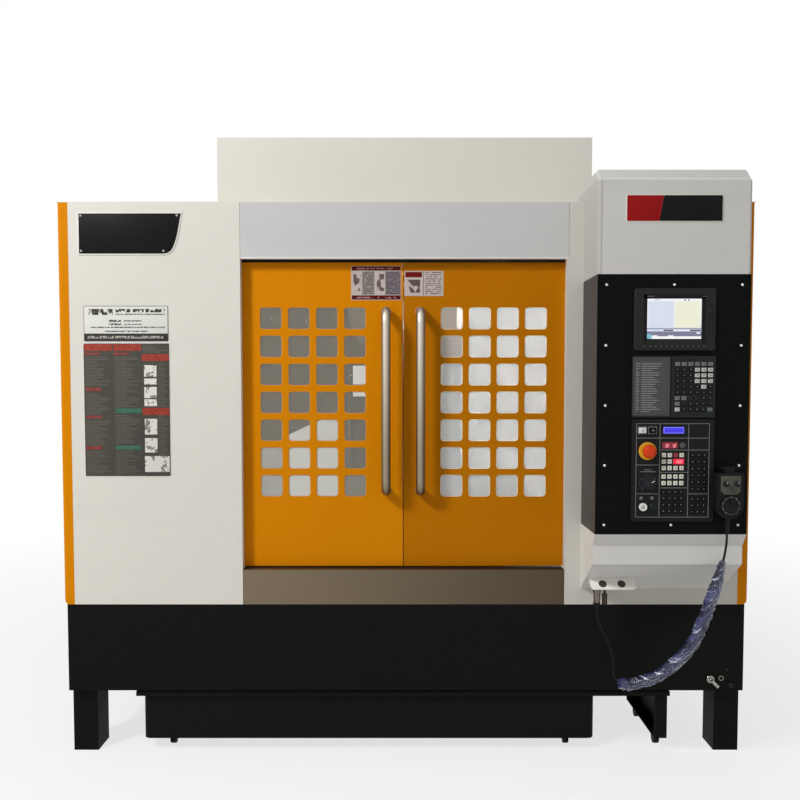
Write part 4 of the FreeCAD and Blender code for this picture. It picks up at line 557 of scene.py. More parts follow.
plate_white = printed("plate_white", (226, 224, 216))
plate_black = printed("plate_black", (24, 24, 25), gloss=0.4)
name_outline = [(-1098.2, 1702.7), (-812, 1702.7), (-796, 1705), (-783, 1713), (-774.5, 1725), (-763.2, 1755),
                (-756.2, 1786), (-745.7, 1845.9), (-1098.2, 1845.9)]
name_field = [(-1093, 1708), (-812, 1708), (-798, 1710), (-787, 1717), (-779.3, 1728), (-768.4, 1757),
              (-761.5, 1787), (-751.4, 1840.9), (-1093, 1840.9)]
piece_of("name_plate", plate(name_outline, -2, 0, edge=0.6), plate_white, "light_plastic")
piece_of("name_plate_field", plate(name_field, -2.5, -1.9, edge=0.2), plate_black, "black_plastic")
pan_heads("name_plate_screws", [(-1086, 1833.5), (-765, 1834.5), (-811, 1717), (-1086, 1717)], -2.4, 4.2, 2.6,
          nickel)

ink = (70, 68, 64)
data_fields = [(-1080.3, -800.4, 1417.6, high, tint) for high, tint in (
    (1532.4, (222, 222, 214)), (1441.9, (62, 58, 56)))]
data_words = [
    (-1067, -984, 1503.9, 1524, ink, 60), (-975, -809, 1512.6, 1524, ink, 95),
    (-975, -809, 1503.9, 1508.4, ink, 260), (-997, -957, 1480.5, 1487.5, ink, 190),
    (-947, -887, 1482, 1486.4, ink, 260), (-997, -957, 1469.8, 1476, ink, 190),
    (-947, -887, 1470.7, 1474.5, ink, 260), (-1058, -810, 1460.5, 1464.8, ink, 260),
    (-1015, -867, 1447.1, 1451.4, ink, 260), (-1070, -815, 1425, 1434, (176, 170, 164), 170)]
piece_of("data_plate", plate(oblong(-1082.2, -798.4, 1415.8, 1534.2), -1.2, 0, 4, 0.3),
         printed("data_plate", (96, 98, 104), data_fields, data_words), "light_plastic")


def lined(name, ground, ink, blocks, pitch, weight):
    """Begins a sheet with plain bars in place of lines of print, and gives its place, tone, wear and how far
    up its line a point is. Each block is (x0, x1, z0, z1); the bars end raggedly."""
    place = begin(name)
    row = place.height / pitch
    index = math.floor(row)
    inked = (row - index) < weight
    length = place.node("TexWhiteNoise", {"noise_dimensions": "1D"}, {"W": index + 0.5})
    gaps = place.node("TexNoise", {"noise_dimensions": "2D"},
                      {"Vector": place.stretched(170, 1, 1), "Scale": 1, "Detail": 0})
    bars = 0
    for x0, x1, z0, z1 in blocks:
        end = x0 + (x1 - x0) * (0.45 + 0.55 * length)
        bars = bars + (place.across > x0) * (place.across < end) * place.height.between(z0, z1)
    wear = place.grain(12, 4)
    tone = wear.tinge(ground, 0.9, 1.08)
    return place, (bars * inked * (0.45 + 0.55 * gaps)).mix(tone, shade(ink)), wear, row - index


# The chart board: olive grey with faint print, red and green heads, and a column of pale pictures left empty.
head_red, head_green, small_red, picture = (156, 66, 54), (66, 112, 92), (136, 66, 62), (226, 221, 211)
board_blocks = [
    (-1080, -996, 1265, 1366), (-1080, -996, 1170, 1244), (-1080, -996, 1068, 1152), (-1080, -996, 966, 1046),
    (-982, -897, 1195, 1366), (-982, -897, 1070, 1170), (-982, -897, 966, 1046), (-836, -800, 975, 1345),
    (-886, -800, 1378, 1404)]
pictures = [(-882, -840, low, high) for low, high in (
    (1297, 1336), (1271, 1291), (1225, 1263), (1198, 1221), (1102, 1155), (1041, 1090))]
board_fields = (
    (head_red, ((-1084, -988, 1384, 1407), (-984, -891, 1384, 1407), (-889, -797, 1350, 1373),
                (-889, -797, 1168, 1192))),
    (head_green, ((-980, -893, 1175, 1190), (-981, -893, 1051, 1064))),
    (small_red, ((-1081, -1028, 1370, 1378), (-984, -932, 1370, 1378), (-1080, -1028, 1249, 1260),
                 (-1080, -1027, 1157, 1166), (-1081, -1028, 1051, 1063))),
    (picture, (*pictures, (-883, -800, 975, 1029))))
place, tone, wear, _ = lined("chart_board", (76, 74, 67), (112, 108, 100), board_blocks, 6.1, 0.34)
spots = place.grain(70).soft(0.54, 0.6)
for tint, fields in board_fields:
    for limits in fields:
        stain = spots.tinge(tint, 1, 0.3 if tint == picture else 0.8)
        tone = place.within(*limits).mix(tone, stain)
board_finish = surface(place, tint=tone, rough=0.35 + 0.1 * wear, sheen=0.1,
                       normal=place.grain(650).relief(0.03, 0.4))
piece_of("chart_board_edge", plate(oblong(-1086.5, -794.5, 959, 1410.6), -0.9, 0, 5),
         plate_white, "light_plastic")
piece_of("chart_board", plate(oblong(-1084.6, -796.4, 960.9, 1408.8), -1.3, -0.8, 4, 0.2),
         board_finish, "grey_plastic")


# ---------------- doors
# Two pans of 2.5 mm sheet, punched with 28 windows each and coated orange; the panes are
# laminated glass held behind the sheet by a pale bead, and a brushed bar is bolted on as handle.

dress(orange, "door_left_panel")
# The right leaf's coat is a darker copy of the left leaf's orange: painted shade.
dress(powder_coat("orange_paint_painted_shade", (187, 113, 1), 0.42, 0.06, 0.06, 0.05), "door_right_panel")


def pane(name, tint, film, patches, stain):
    """Laminated glass with a thin film on it: clear, a little hazy, with splashes. Patches are fields of
    painted light and shade, (x0, x1, z0, z1, how much) in millimetres, the first one cut off along a slanted
    line."""
    place = begin(name)
    cloud = place.grain(5, 3)
    splash = place.node("TexVoronoi", {}, {"Vector": place, "Scale": 30}) < 0.055
    fog = film + 0.06 * cloud + 0.05 * place.grain(60, 3)
    marking_mask = 0
    # Each patch paints the stain colour over the glass: painted light where that colour is pale, painted
    # shade where it is dark.
    for k, (*limits, amount) in enumerate(patches):
        painted_patch = place.within(*limits)
        if k == 0:
            painted_patch = painted_patch * (place.height < 0.47 * place.across + 1288)
        fog = fog + painted_patch * amount
        marking_mask = marking_mask + painted_patch * min(1, amount * 1.5)
    tone = (fog * 1.6).tinge(tint, 0.8, 1.15)
    return surface(place, tint=(marking_mask + splash).mix(tone, shade(stain)), rough=0.04 + 0.1 * cloud,
                   alpha=fog + 0.4 * splash, sheen=0.5)


# Both leaves have the same glass. The left leaf's grey tint is a painted reflection, and its patches are
# painted highlights where the lit room behind shows through.
left_painted_light_patches = [(-416, -226, 880, 1155, 0.5), (-500, -416, 880, 1062, 0.3), (-181, -130, 1271, 1335, 0.7),
                (-181, -130, 1230, 1252, 0.7), (-212, -130, 880, 966, 0.1)]
dress(pane("left_glass", (136, 132, 120), 0.45, left_painted_light_patches, (216, 216, 208)), "door_left_glass")
# The right leaf's near-white tint is painted light from the lit room behind, and its patches are painted
# shade.
right_painted_shade_patches = [(0, 0, 0, 0, 0), (118, 174, 1458, 1533, 0.6), (118, 194, 1362, 1438, 0.5)]
dress(pane("right_glass", (246, 254, 251), 0.36, right_painted_shade_patches, (166, 152, 136)), "door_right_glass")

# The beads: a rounded square ring in the edge of each window, yellowed on the left leaf.
window, pitch, radius, bead_width, bead_height = 75, 95.3, 12, 2, 1.4
for side, body, finish in ((-1, "door_left", rubber("window_bead_yellowed", (206, 158, 104))),
                           (1, "door_right", rubber("window_bead", (252, 244, 204)))):
    beads = bmesh.new()
    for column in range(4):
        for row in range(7):
            x = -9 + side * 308 + (column - 1.5) * pitch
            z = 1533 - row * pitch - window / 2
            half = window / 2 + 0.2
            ring = [beads.verts.new(at(*spot)) for spot in (
                (x - half, 36, z - half), (x + half, 36, z - half),
                (x + half, 36, z + half), (x - half, 36, z + half))]
            beads.faces.new(ring)
            bmesh.ops.bevel(beads, geom=ring, offset=radius / 1000, offset_type="OFFSET", segments=4,
                            profile=0.5, affect="VERTICES", material=-1)
            face = next(f for f in beads.faces if len(f.verts) > 8 and not f.tag)
            bmesh.ops.inset_region(beads, faces=[face], thickness=bead_width / 1000, use_boundary=True,
                                   use_even_offset=True)
            bmesh.ops.delete(beads, geom=[face], context="FACES_ONLY")
            for f in beads.faces:
                f.tag = True
    pulled = bmesh.ops.extrude_face_region(beads, geom=beads.faces[:])["geom"]
    bmesh.ops.translate(beads, vec=(0, bead_height / 1000, 0),
                        verts=[v for v in pulled if isinstance(v, bmesh.types.BMVert)])
    piece_of(body + "_window_beads", beads, finish, "light_plastic", body=body)


def brushed(name, tint, rough, scales, far=1):
    """Brushed or ground metal with fine lines, which run where the scale is small. Its tone changes by the
    far amount from left to right; a far amount below 1 is painted shade, darker to the right."""
    place = begin(name)
    lines = place.stretched(*scales).grain(1, 3, 0.6)
    left, right = (lines.tinge(tint, 0.84 * by, 1.12 * by) for by in (1, far))
    return surface(place, tint=place.across.soft(-750, 700).mix(left, right), metal=1,
                   rough=rough + 0.12 * lines + 0.08 * place.grain(3.5, 4), normal=lines.relief(0.06, 0.6))


def bent_bar(name, corners, radius, bend):
    """A round bar through these corners, in millimetres, bent to a radius at each inner one."""
    quarter_turn = 0.4477  # how far out a handle stands for a round corner, as a share of the bend
    points = [(at(*corners[0]),) * 3]
    for before, corner, after in zip(corners, corners[1:], corners[2:]):
        here = at(*corner)
        back = (at(*before) - here).normalized() * bend / 1000
        on = (at(*after) - here).normalized() * bend / 1000
        points.append((here + back, here + back, here + back * quarter_turn))
        points.append((here + on, here + on * quarter_turn, here + on))
    points.append((at(*corners[-1]),) * 3)
    holder, spline = tubing(name, "BEZIER", radius, 16, 8)
    spline.bezier_points.add(len(points) - 1)
    for point, (place, left, right) in zip(spline.bezier_points, points):
        point.handle_left_type = point.handle_right_type = "FREE"
        point.co, point.handle_left, point.handle_right = place, left, right
    bar = bmesh.new()
    bar.from_mesh(meshed(holder))
    bpy.data.objects.remove(holder)
    return bar


# Painted reflection on the bars: lighter towards the top, duller and browner towards the foot, and painted
# shade along the sides that face left and right.
place = begin("brushed_bar")
lines = place.stretched(700, 700, 5).grain(1, 3, 0.6)
sideways = place.node("TexCoord", output="Normal").part(0)
tone = place.height.soft(950, 1500).mix(shade((150, 139, 119)), shade((206, 197, 183)))
tone = (0.55 * abs(sideways + 0.2).soft(0.1, 0.85)).mix(tone, shade((70, 60, 46)))
streaks = lines.mix((0.84, 0.84, 0.84, 1), (1.1, 1.1, 1.1, 1))
tone = place.node("Mix", {"data_type": "RGBA", "blend_type": "MULTIPLY"}, {0: 1, 6: tone, 7: streaks}, 2)
bright_bar = surface(place, tint=tone, metal=1, rough=0.34 + 0.12 * lines + 0.08 * place.grain(3.5, 4),
                     normal=lines.relief(0.06, 0.6))
foot, top, stand = 907.5, 1517.5, -25
for body, x in (("door_left", -67), ("door_right", 49)):
    bar = bent_bar(body, [(x, 35.4, foot), (x, stand, foot), (x, stand, top), (x, 35.4, top)], 15.2, 40)
    for z in (foot, top):
        turned(at(x, 35.2, z), [(0, 17), (2.2, 17), (3, 16.2)], 36, into=bar)
    piece_of(body + "_bar", bar, bright_bar, "bright_bar", body + "_handle", body=body, crease=40)

# A dark strip down the left leaf's meeting edge is painted shade in the seam between the leaves, and a
# black strip along the top of the opening is painted shade in the gap under the header.
piece_of("door_seam_shade_strip", block(-9.7, -8.3, 36, 58, 650, 1700),
         rubber("seam_shade_paint", (48, 28, 8)), "black_plastic", body="door_left")
piece_of("door_top_gap_shade", block(-554, 538, 29, 34.6, 1684, 1702),
         rubber("gap_shade_black", (20, 14, 8)), "black_plastic")

# The stickers by the handles: plain fields of colour with rows of broken bars, and nothing to read.
ground, ink, band, band_ink = (196, 184, 176), (86, 78, 74), (84, 20, 22), (180, 130, 126)
left_fields = [(-183.6, -18, 1656.7, 1670.8, band), (-183.6, -18, 1558.9, 1573.1, band),
               (-149, -107, 1575, 1654, (150, 142, 138)), (-70, -18, 1575, 1654, (124, 116, 122))]
left_words = [(-167, -34, 1661, 1666, band_ink, 120), (-167, -34, 1563, 1568, band_ink, 120)]
left_words += [(x0, x1, z, z + 3, ink, 120) for x0, x1 in ((-147, -109), (-68, -21))
               for z in range(1578, 1652, 6)]
left_words += [(x0, x1, 1588, 1645, (104, 88, 84), 46) for x0, x1 in ((-178, -154), (-99, -74))]
right_fields = [(-2, 54.5, 1633.8, 1652, (110, 26, 22)), (58, 60, 1573, 1654, ink)]
right_words = [(64, 121, z, z + 3, ink, 120) for z in range(1578, 1650, 7)]
right_words += [(5, 48, 1582, 1626, (96, 82, 76), 40)]
for side, limits, fields, words in (("left", (-186, -17, 1557, 1672), left_fields, left_words),
                                    ("right", (-4.6, 127.2, 1571, 1655.5), right_fields, right_words)):
    piece_of(f"door_{side}_sticker", plate(oblong(*limits), 34.6, 35, 1.5),
             printed(side + "_sticker", ground, fields, words), "light_plastic", body="door_" + side)


# ---------------- sill and base
# The sill under the doors is brushed stainless sheet with a bright ledge; below it stands a
# tray skirt coated satin black on a welded frame of box tube, with the coolant tank between its legs.

# The sill darkens towards the right: painted shade.
dress(brushed("brushed_sill", (127, 113, 93), 0.38, (6, 700, 700), far=0.4), "steel_skirt")
black_coat = powder_coat("black_paint", (17, 17, 16), 0.46, 0.06, 0.12, 0.06)
dress(black_coat, "base_apron", "base_frame")
dress(powder_coat("tank_paint", (20, 20, 20), 0.46, 0.08, 0.12, 0.06), "coolant_tank")
dress(plated("zinc_feet", (150, 150, 148), 0.34), "leveling_feet")
corners = bmesh.new()
for x in (-1154.4, 1154.4):
    for d0, d1 in ((4.3, 25.7), (1669.3, 1690.7)):
        block(x - 1, x + 1, d0, d1, 222.5, 520.5, into=corners)
piece_of("apron_corners", corners, black_coat, "black_plastic")


# ---------------- work room
# Behind the doors: white sheets that shed the chips, a ribbed cast bed and column painted light
# grey, ground rails and screws, the table, the spindle head and the round tool turret.

dress(powder_coat("room_sheet", (238, 238, 234), 0.4), "chamber_liner")

# The castings: filled and sprayed iron, with a soft skin and darker hollows of tone.
place = begin("casting_paint")
skin = place.grain(120, 4, 0.6)
cast_grey = (176, 178, 174)
castings = surface(place, tint=place.grain(4, 4).tinge(cast_grey, 0.9, 1.06),
                   rough=0.4 + 0.2 * skin, normal=skin.relief(0.35, 0.5))
dress(castings, "base_casting", "column", "spindle_head", "saddle")
dress(brushed("ground_table", (168, 168, 164), 0.3, (500, 12, 12)), "work_table")
dress(brushed("ground_steel", (178, 178, 176), 0.2, (300, 300, 300)),
      "guide_rails", "spindle", "x_ball_screw", "y_ball_screw", "z_ball_screw")
dress(powder_coat("turret_paint", (196, 194, 186), 0.3), "tool_turret")
dress(rubber("motor_black", (30, 30, 32)), "servo_motors")

# The way covers: pleated cloth over a low arch, fixed at one end and drawn by the saddle at the other.
bellows_cloth = rubber("bellows_cloth", (40, 40, 42), 1400)
arch = [(-296, 590), (-296, 690), (-288, 704), (-276, 706), (276, 706), (288, 704), (296, 690), (296, 590)]
pleat, pleat_depth, crown = 24, 0.0125, 0.706
for node, d0, d1, ends in (("front_bellows", 82, 409.5, ("machine", "saddle")),
                           ("rear_bellows", 790.5, 1100, ("saddle", "machine"))):
    count = round((d1 - d0) / pleat)
    cover = bmesh.new()
    line = [cover.verts.new(at(x, d0, z)) for x, z in arch]
    strip = [cover.edges.new(pair) for pair in zip(line, line[1:])]
    for step in range(count * 2):
        grown = bmesh.ops.extrude_edge_only(cover, edges=strip)["geom"]
        line = [v for v in grown if isinstance(v, bmesh.types.BMVert)]
        strip = [e for e in grown if isinstance(e, bmesh.types.BMEdge)]
        bmesh.ops.translate(cover, vec=(0, (d1 - d0) / count / 2000, 0), verts=line)
        for corner in line:
            if corner.co.z > 0.66:
                corner.co.z += pleat_depth * (-1, 1)[step % 2]
    for corner in cover.verts:
        corner.co.z = min(corner.co.z, crown)
    bmesh.ops.recalc_face_normals(cover, faces=cover.faces)
    pleated = piece_of(node + "_cover", cover, bellows_cloth, "bellows_cloth", node, body=None, crease=60)
    thick = pleated.modifiers.new("cloth", "SOLIDIFY")
    thick.thickness = 0.0016
    thick.offset = -1
    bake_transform(pleated)

# The work lamp shines down on the table through a pebbled lens.
dress(rubber("lamp_case", (60, 60, 60)), "work_lamp")
place = begin("lamp_lens")
cells = place.node("TexVoronoi", {}, {"Vector": place, "Scale": 60})
lens_finish = surface(place, tint=cells.mix((1, 1, 1, 1), (0.8, 0.8, 0.8, 1)), rough=0.3,
                      glow=cells.mix((1, 1, 0.97, 1), (0.7, 0.7, 0.68, 1)), power=165)
piece_of("lamp_lens", block(190, 810, 138, 182, 1815.5, 1818.2, 0.8, 2), lens_finish, "light_plastic")


# ---------------- operator console
# A folded white cover above and a sloping white foot below, a dark side box between them, and a
# satin black plate screwed over the front to carry the screen, the keys and the pendant.

# Painted shade on the cover's left side and on its top, and painted light on the foot below the dark box.
console_painted_light_and_shade = [(500, 608, 1600, 1910, 0.72), (500, 1200, 1910, 2000, 0.84), (500, 1200, 500, 830, 1.12)]
dress(powder_coat("console_paint", (210, 208, 202), painted_light_and_shade=console_painted_light_and_shade), "console_housing")
dress(powder_coat("box_paint", (70, 69, 67), 0.4), "control_box")
dress(powder_coat("plate_paint", (10, 12, 11), 0.46, 0.05, 0.1, 0.05), "control_plate")
console_face, middle_x = -200, 834
screw_places = [(middle_x + side * 211, 829 + k * 188) for side in (-1, 1) for k in range(5)]
pan_heads("plate_screw_heads", screw_places + [(middle_x, 829), (middle_x, 1581)], console_face, 4.3, 3,
          plated("screw_zinc", (226, 224, 218), 0.3, 0.5), "plate_screws")

# Badge on the upper cover: a white-edged plate, red to the left of a slanted line and black to the right.
badge_edge = plate(oblong(680.3, 981.2, 1774, 1858.4), -202, console_face, 7, 0.6)
piece_of("badge_plate", badge_edge, plate_white, "light_plastic")
low, high = 1776.7, 1855.6
for name, feet, heads, finish in (("red", (683, 783), (797.2, 683), printed("badge_red", (152, 26, 28))),
                                  ("black", (783.3, 978.4), (978.4, 797.5), plate_black)):
    outline = [(x, low) for x in feet] + [(x, high) for x in heads]
    piece_of("badge_" + name, plate(outline, -202.6, -201.9, 3, 0.2), finish, name + "_plastic")


# ---------------- screen and keys
# A moulded bezel with a lit 8.4 inch screen over its row of soft keys; beside and below it the code
# plate and the key field, whose caps are moulded in black, grey and white.

bezel_grey = rubber("bezel_plastic", (36, 38, 36))
dress(bezel_grey, "display_unit", "keypad_unit")

screen_fields = [
    (748.5, 916.5, 1530.2, 1537, (246, 246, 250)), (751.4, 830.5, 1447.9, 1529.2, (214, 222, 238)),
    (833.5, 913.6, 1447.9, 1529.2, (238, 238, 214)), (771, 787.6, 1531.2, 1536, (206, 204, 232)),
    (862.8, 866.7, 1530.2, 1535.1, (60, 60, 70)), (874.5, 878.4, 1530.2, 1535.1, (60, 60, 70)),
    (748.5, 916.5, 1442.1, 1446.9, (150, 156, 184)), (799.3, 829.6, 1437.2, 1441.1, (28, 30, 52)),
    (881.3, 915.5, 1437.2, 1441.1, (28, 30, 52)), (752.4, 797.3, 1437.2, 1441.1, (206, 224, 240)),
    (833.5, 879.4, 1437.2, 1441.1, (236, 238, 250)), (748.5, 916.5, 1420.8, 1436.2, (118, 118, 146)),
    (763.2, 916.5, 1413, 1419.8, (250, 250, 252)), (748.5, 762.2, 1413, 1427.5, (120, 190, 208)),
    (765.1, 780.7, 1418.8, 1423.7, (250, 250, 252)), (813, 830.5, 1418.8, 1423.7, (250, 250, 252)),
    (901.8, 913.6, 1428.5, 1434.3, (226, 228, 240))]
place = begin("screen_picture")
haze = place.grain(20)
tone = haze.mix(shade((232, 234, 246)), shade((250, 250, 252)))
for *limits, tint in screen_fields:
    tone = place.within(*limits).mix(tone, haze.tinge(tint, 0.96, 1.03))
screen_finish = surface(place, tint=(0.01, 0.01, 0.012, 1), rough=0.25, glow=tone, power=0.95)
piece_of("screen_glass", plate(oblong(748.5, 916.8, 1413, 1537), -207.7, -206.9, 1.5, 0.2),
         screen_finish, "light_plastic")
surround = bmesh.new()
for x0, x1, z0, z1 in ((737, 929, 1537.6, 1550), (737, 746.8, 1398, 1550), (919.2, 929, 1398, 1550)):
    block(x0, x1, -210.5, -209.8, z0, z1, 0.2, into=surround)
piece_of("screen_surround", surround, rubber("surround_black", (20, 20, 22)), "black_plastic")

soft_marks = bmesh.new()
for k in range(12):
    x = 833 + (k - 5.5) * 16.8
    block(x - 3.2, x + 3.2, -211.75, -211.4, 1389, 1390.2, into=soft_marks)
for x0, x1 in ((747, 768), (918, 931)):
    block(x0, x1, -210.75, -210.4, 1543.4, 1545.2, into=soft_marks)
piece_of("soft_key_marks", soft_marks, printed("mark_grey", (120, 124, 138)), "grey_plastic")
piece_of("slot_marks", block(938, 956, -210.7, -210.2, 1514, 1517, 0.3),
         rubber("slot_black", (12, 12, 12)), "black_plastic")

# The code plate: rows of plain bars in two columns, ruled off.
place, tone, wear, line = lined("code_plate", (48, 50, 49), (150, 152, 148), [
    (716, 729, 1186, 1340), (733, 797, 1186, 1340), (716, 730, 1344, 1348)], 7.1, 0.3)
rule = place.within(716, 811, 1186, 1342) * (line > 0.88)
code_finish = surface(place, tint=rule.mix(tone, shade((88, 90, 88))), rough=0.4 + 0.1 * wear)
piece_of("code_plate", plate(oblong(707, 823, 1174, 1356), -205.5, -204.9, 1), code_finish, "grey_plastic")


def key_caps(name, places, width, height, d, finish, slot="grey_plastic"):
    """Moulded key caps over the CAD keys, each with a rounded rim."""
    skin = 0.35
    w, h = (width + skin) / 2, (height + skin) / 2
    caps = bmesh.new()
    for x, z in places:
        block(x - w, x + w, d - skin, d + 2, z - h, z + h, 0.7, 2, into=caps)
    piece_of(name, caps, finish, slot)


def key_marks(name, places, d, finish, wide, tall=1.1):
    """Two small plain bars on each key where its legend would be."""
    marks = bmesh.new()
    for k, (x, z) in enumerate(places):
        w = wide * (0.7 + 0.3 * ((k * 7) % 5) / 4)
        for half, low in ((w / 2, z - tall / 2), (w / 4, z - tall / 2 + 1.8)):
            block(x - half, x + half, d - 0.12, d + 0.2, low, low + tall, into=marks)
    piece_of(name, marks, finish, "light_plastic")


mark_light = printed("key_mark_light", (170, 170, 168))
mark_dark = printed("key_mark_dark", (70, 70, 72))
kinds = {}
for column in range(6):
    for row in range(9):
        if row == 0 or (row == 6 and column < 2) or (row == 7 and column == 0):
            kind = "grey"
        elif (row in (1, 2, 3) and column > 2) or (row, column) in ((4, 4), (8, 0)):
            kind = "light"
        elif (row, column) == (8, 5):
            kind = "green"
        elif row == 6 and column in (2, 3):
            kind = "none"
        else:
            kind = "black"
        kinds.setdefault(kind, []).append((845 + column * 20.5, 1335 - row * 17.7))
for kind, tint in (("grey", (116, 118, 114)), ("light", (196, 196, 192)), ("green", (104, 116, 108)),
                   ("black", (22, 22, 24)), ("none", None)):
    finish = rubber("key_" + kind, tint) if tint else bezel_grey
    key_caps(kind + "_keys", kinds[kind], 15, 11.5, -209.5, finish)
key_marks("light_key_marks", kinds["black"], -209.9, mark_light, 3.4)
key_marks("dark_key_marks", kinds["grey"] + kinds["light"] + kinds["green"], -209.9, mark_dark, 7)


# ---------------- operator panel
# A polycarbonate overlay in a moulded frame: fields ruled off by thin lines, membrane keys, a small
# blue display, red counters, the mushroom stop on its yellow ring, the override knob and the buttons.

dress(rubber("panel_plastic", (22, 23, 22)), "operator_panel")
face = -206.3
half = 0.8
rules = bmesh.new()
for x0, x1, z in (
        (720, 948, 1149), (720, 948, 855), (720, 948, 1103.7), (720, 793.6, 1019.4), (720, 793.6, 928.7),
        (793.6, 948, 1066.4), (793.6, 883.2, 996.3), (793.6, 883.2, 947.3), (883.2, 948, 928.7)):
    block(x0 - half, x1 + half, face - 0.5, face, z - half, z + half, into=rules)
for x in (720, 948, 793.6, 883.2):
    block(x - half, x + half, face - 0.5, face, 855, 1149, into=rules)
piece_of("panel_rules", rules, printed("rule_grey", (138, 140, 137)), "light_plastic")

upper, centre, lower, right, corner = (
    [(x + column * 18.5, z - row * drop) for row in range(rows) for column in range(columns)]
    for x, columns, z, drop, rows in (
        (806.5, 4, 1050.5, 20.3, 3), (806.5, 4, 983, 20.3, 2), (806.5, 4, 934.5, 20.3, 4),
        (896, 3, 1050, 21.2, 6), (896, 3, 912.5, 20.3, 3)))
lit_x, lit_z = upper[2]
speed_x, speed_z = upper[6]
pale_keys = upper[:2] + upper[3:6] + upper[8:] + centre
dark_keys = lower + right + corner
for name, keys, finish, slot in (
        ("pale_panel_keys", pale_keys, rubber("key_white", (222, 220, 206)), "light_plastic"),
        ("dark_panel_keys", dark_keys, rubber("key_dark", (8, 8, 9)), "black_plastic")):
    key_caps(name, keys, 13, 13, -208.5, finish, slot)
key_marks("pale_panel_marks", pale_keys, -208.9, mark_dark, 6, 1.4)
key_marks("dark_panel_marks", dark_keys, -208.9, mark_light, 4)


def glowing(name, tint, strength):
    """A lit lens or display cell, mottled a little in its tone and glow."""
    place = begin(name)
    cells = place.grain(260)
    return surface(place, tint=cells.tinge(tint, 0.5, 1), rough=0.25,
                   glow=cells.tinge(tint, 0.7, 1.2), power=strength)


shape = block(801, 850, -207.4, face, 1071, 1091, 0.4)
block(lit_x - 6.7, lit_x + 6.7, -208.9, -206, lit_z - 6.7, lit_z + 6.7, 0.8, 2, into=shape)
piece_of("counter_window", shape, glowing("counter_ground", (120, 14, 34), 0.55), "red_plastic")
shape = block(speed_x - 7.5, upper[7][0] + 7.5, -209, -206, speed_z - 8.5, speed_z + 8.5, 0.8, 2)
piece_of("speed_window", shape, glowing("speed_window", (214, 20, 56), 0.8), "red_plastic")


def digit(shape, number, x, z, d, size):
    """A seven-bar numeral, leaning a little."""
    w, h, t = size * 0.5, size, size * 0.12
    bars = {"a": (0, w, h - t, h), "g": (0, w, h / 2 - t / 2, h / 2 + t / 2), "b": (w - t, w, h / 2, h),
            "c": (w - t, w, 0, h / 2), "d": (0, w, 0, t), "e": (0, t, 0, h / 2), "f": (0, t, h / 2, h)}
    for bar in {"0": "abcdef", "1": "bc", "2": "abged"}[number]:
        x0, x1, z0, z1 = bars[bar]
        lean = (z0 + z1) / 2 * 0.12
        block(x + x0 + lean, x + x1 + lean, d - 0.2, d + 0.2, z + z0, z + z1, into=shape)


digits = bmesh.new()
for k, number in enumerate("12"):
    for x in (807, 830):
        digit(digits, number, x + k * 7.5, 1074.5, -207.4, 11)
for k, number in enumerate("100"):
    digit(digits, number, speed_x - 2 + k * 8, speed_z - 5, -209, 10)
piece_of("counter_digits", digits, glowing("counter_digits", (255, 150, 160), 1), "red_plastic")
piece_of("blue_display", block(804, 868.5, -208, -206.2, 1118, 1138.5, 0.8, 2),
         glowing("blue_display", (104, 102, 226), 0.8), "light_plastic")
piece_of("blue_display_field", block(807, 865.5, -208.3, -207.9, 1121, 1135.5, 0.2),
         glowing("blue_display_field", (50, 38, 200), 0.85), "light_plastic")
dial = turned(at(865, -206.4, 1081), [(0, 9.5), (1.2, 9.2), (2.6, 6.5), (3.2, 3), (3.4, 0)], 32)
piece_of("counter_dial", dial, rubber("dial_grey", (84, 86, 82)), "grey_plastic")


def moulded(name, tint):
    """Glossy moulded plastic with a soft skin and a little dust."""
    place = begin(name)
    dust = place.grain(90, 4)
    return surface(place, tint=dust.tinge(tint, 0.9, 1.08), rough=0.24 + 0.12 * dust,
                   sheen=0.15, coat=0.08, normal=dust.relief(0.04, 0.4))


# Emergency stop: a yellow ring pressed on the panel and a red mushroom that stays in when pushed.
shape = turned(at(755.5, face, 1063), [(0, 28), (2.2, 28), (3.6, 26.6), (4.2, 24), (3.8, 14)], 56)
piece_of("stop_ring", shape, rubber("ring_yellow", (222, 160, 40)), "light_plastic")
shape = turned(at(755.5, -205, 1063), [
    (0.5, 11), (11.5, 11), (11.5, 14.5), (16.5, 19.8), (21, 21), (26, 21), (31, 19.6), (34.6, 16.2),
    (36.5, 11), (37, 5)], 56)
piece_of("stop_button", shape, moulded("stop_red", (214, 62, 10)), "red_plastic", "estop_button",
         body="estop")


def turned_block(x, z, angle, *limits, into=None):
    """A block that is laid out round the origin, then turned and carried to a place on the front."""
    shape = into or bmesh.new()
    before = set(shape.verts)
    block(*limits, into=shape)
    carry = Matrix.Translation((x / 1000, 0, z / 1000)) @ Matrix.Rotation(angle, 4, "Y")
    bmesh.ops.transform(shape, matrix=carry, verts=[v for v in shape.verts if v not in before])
    return shape


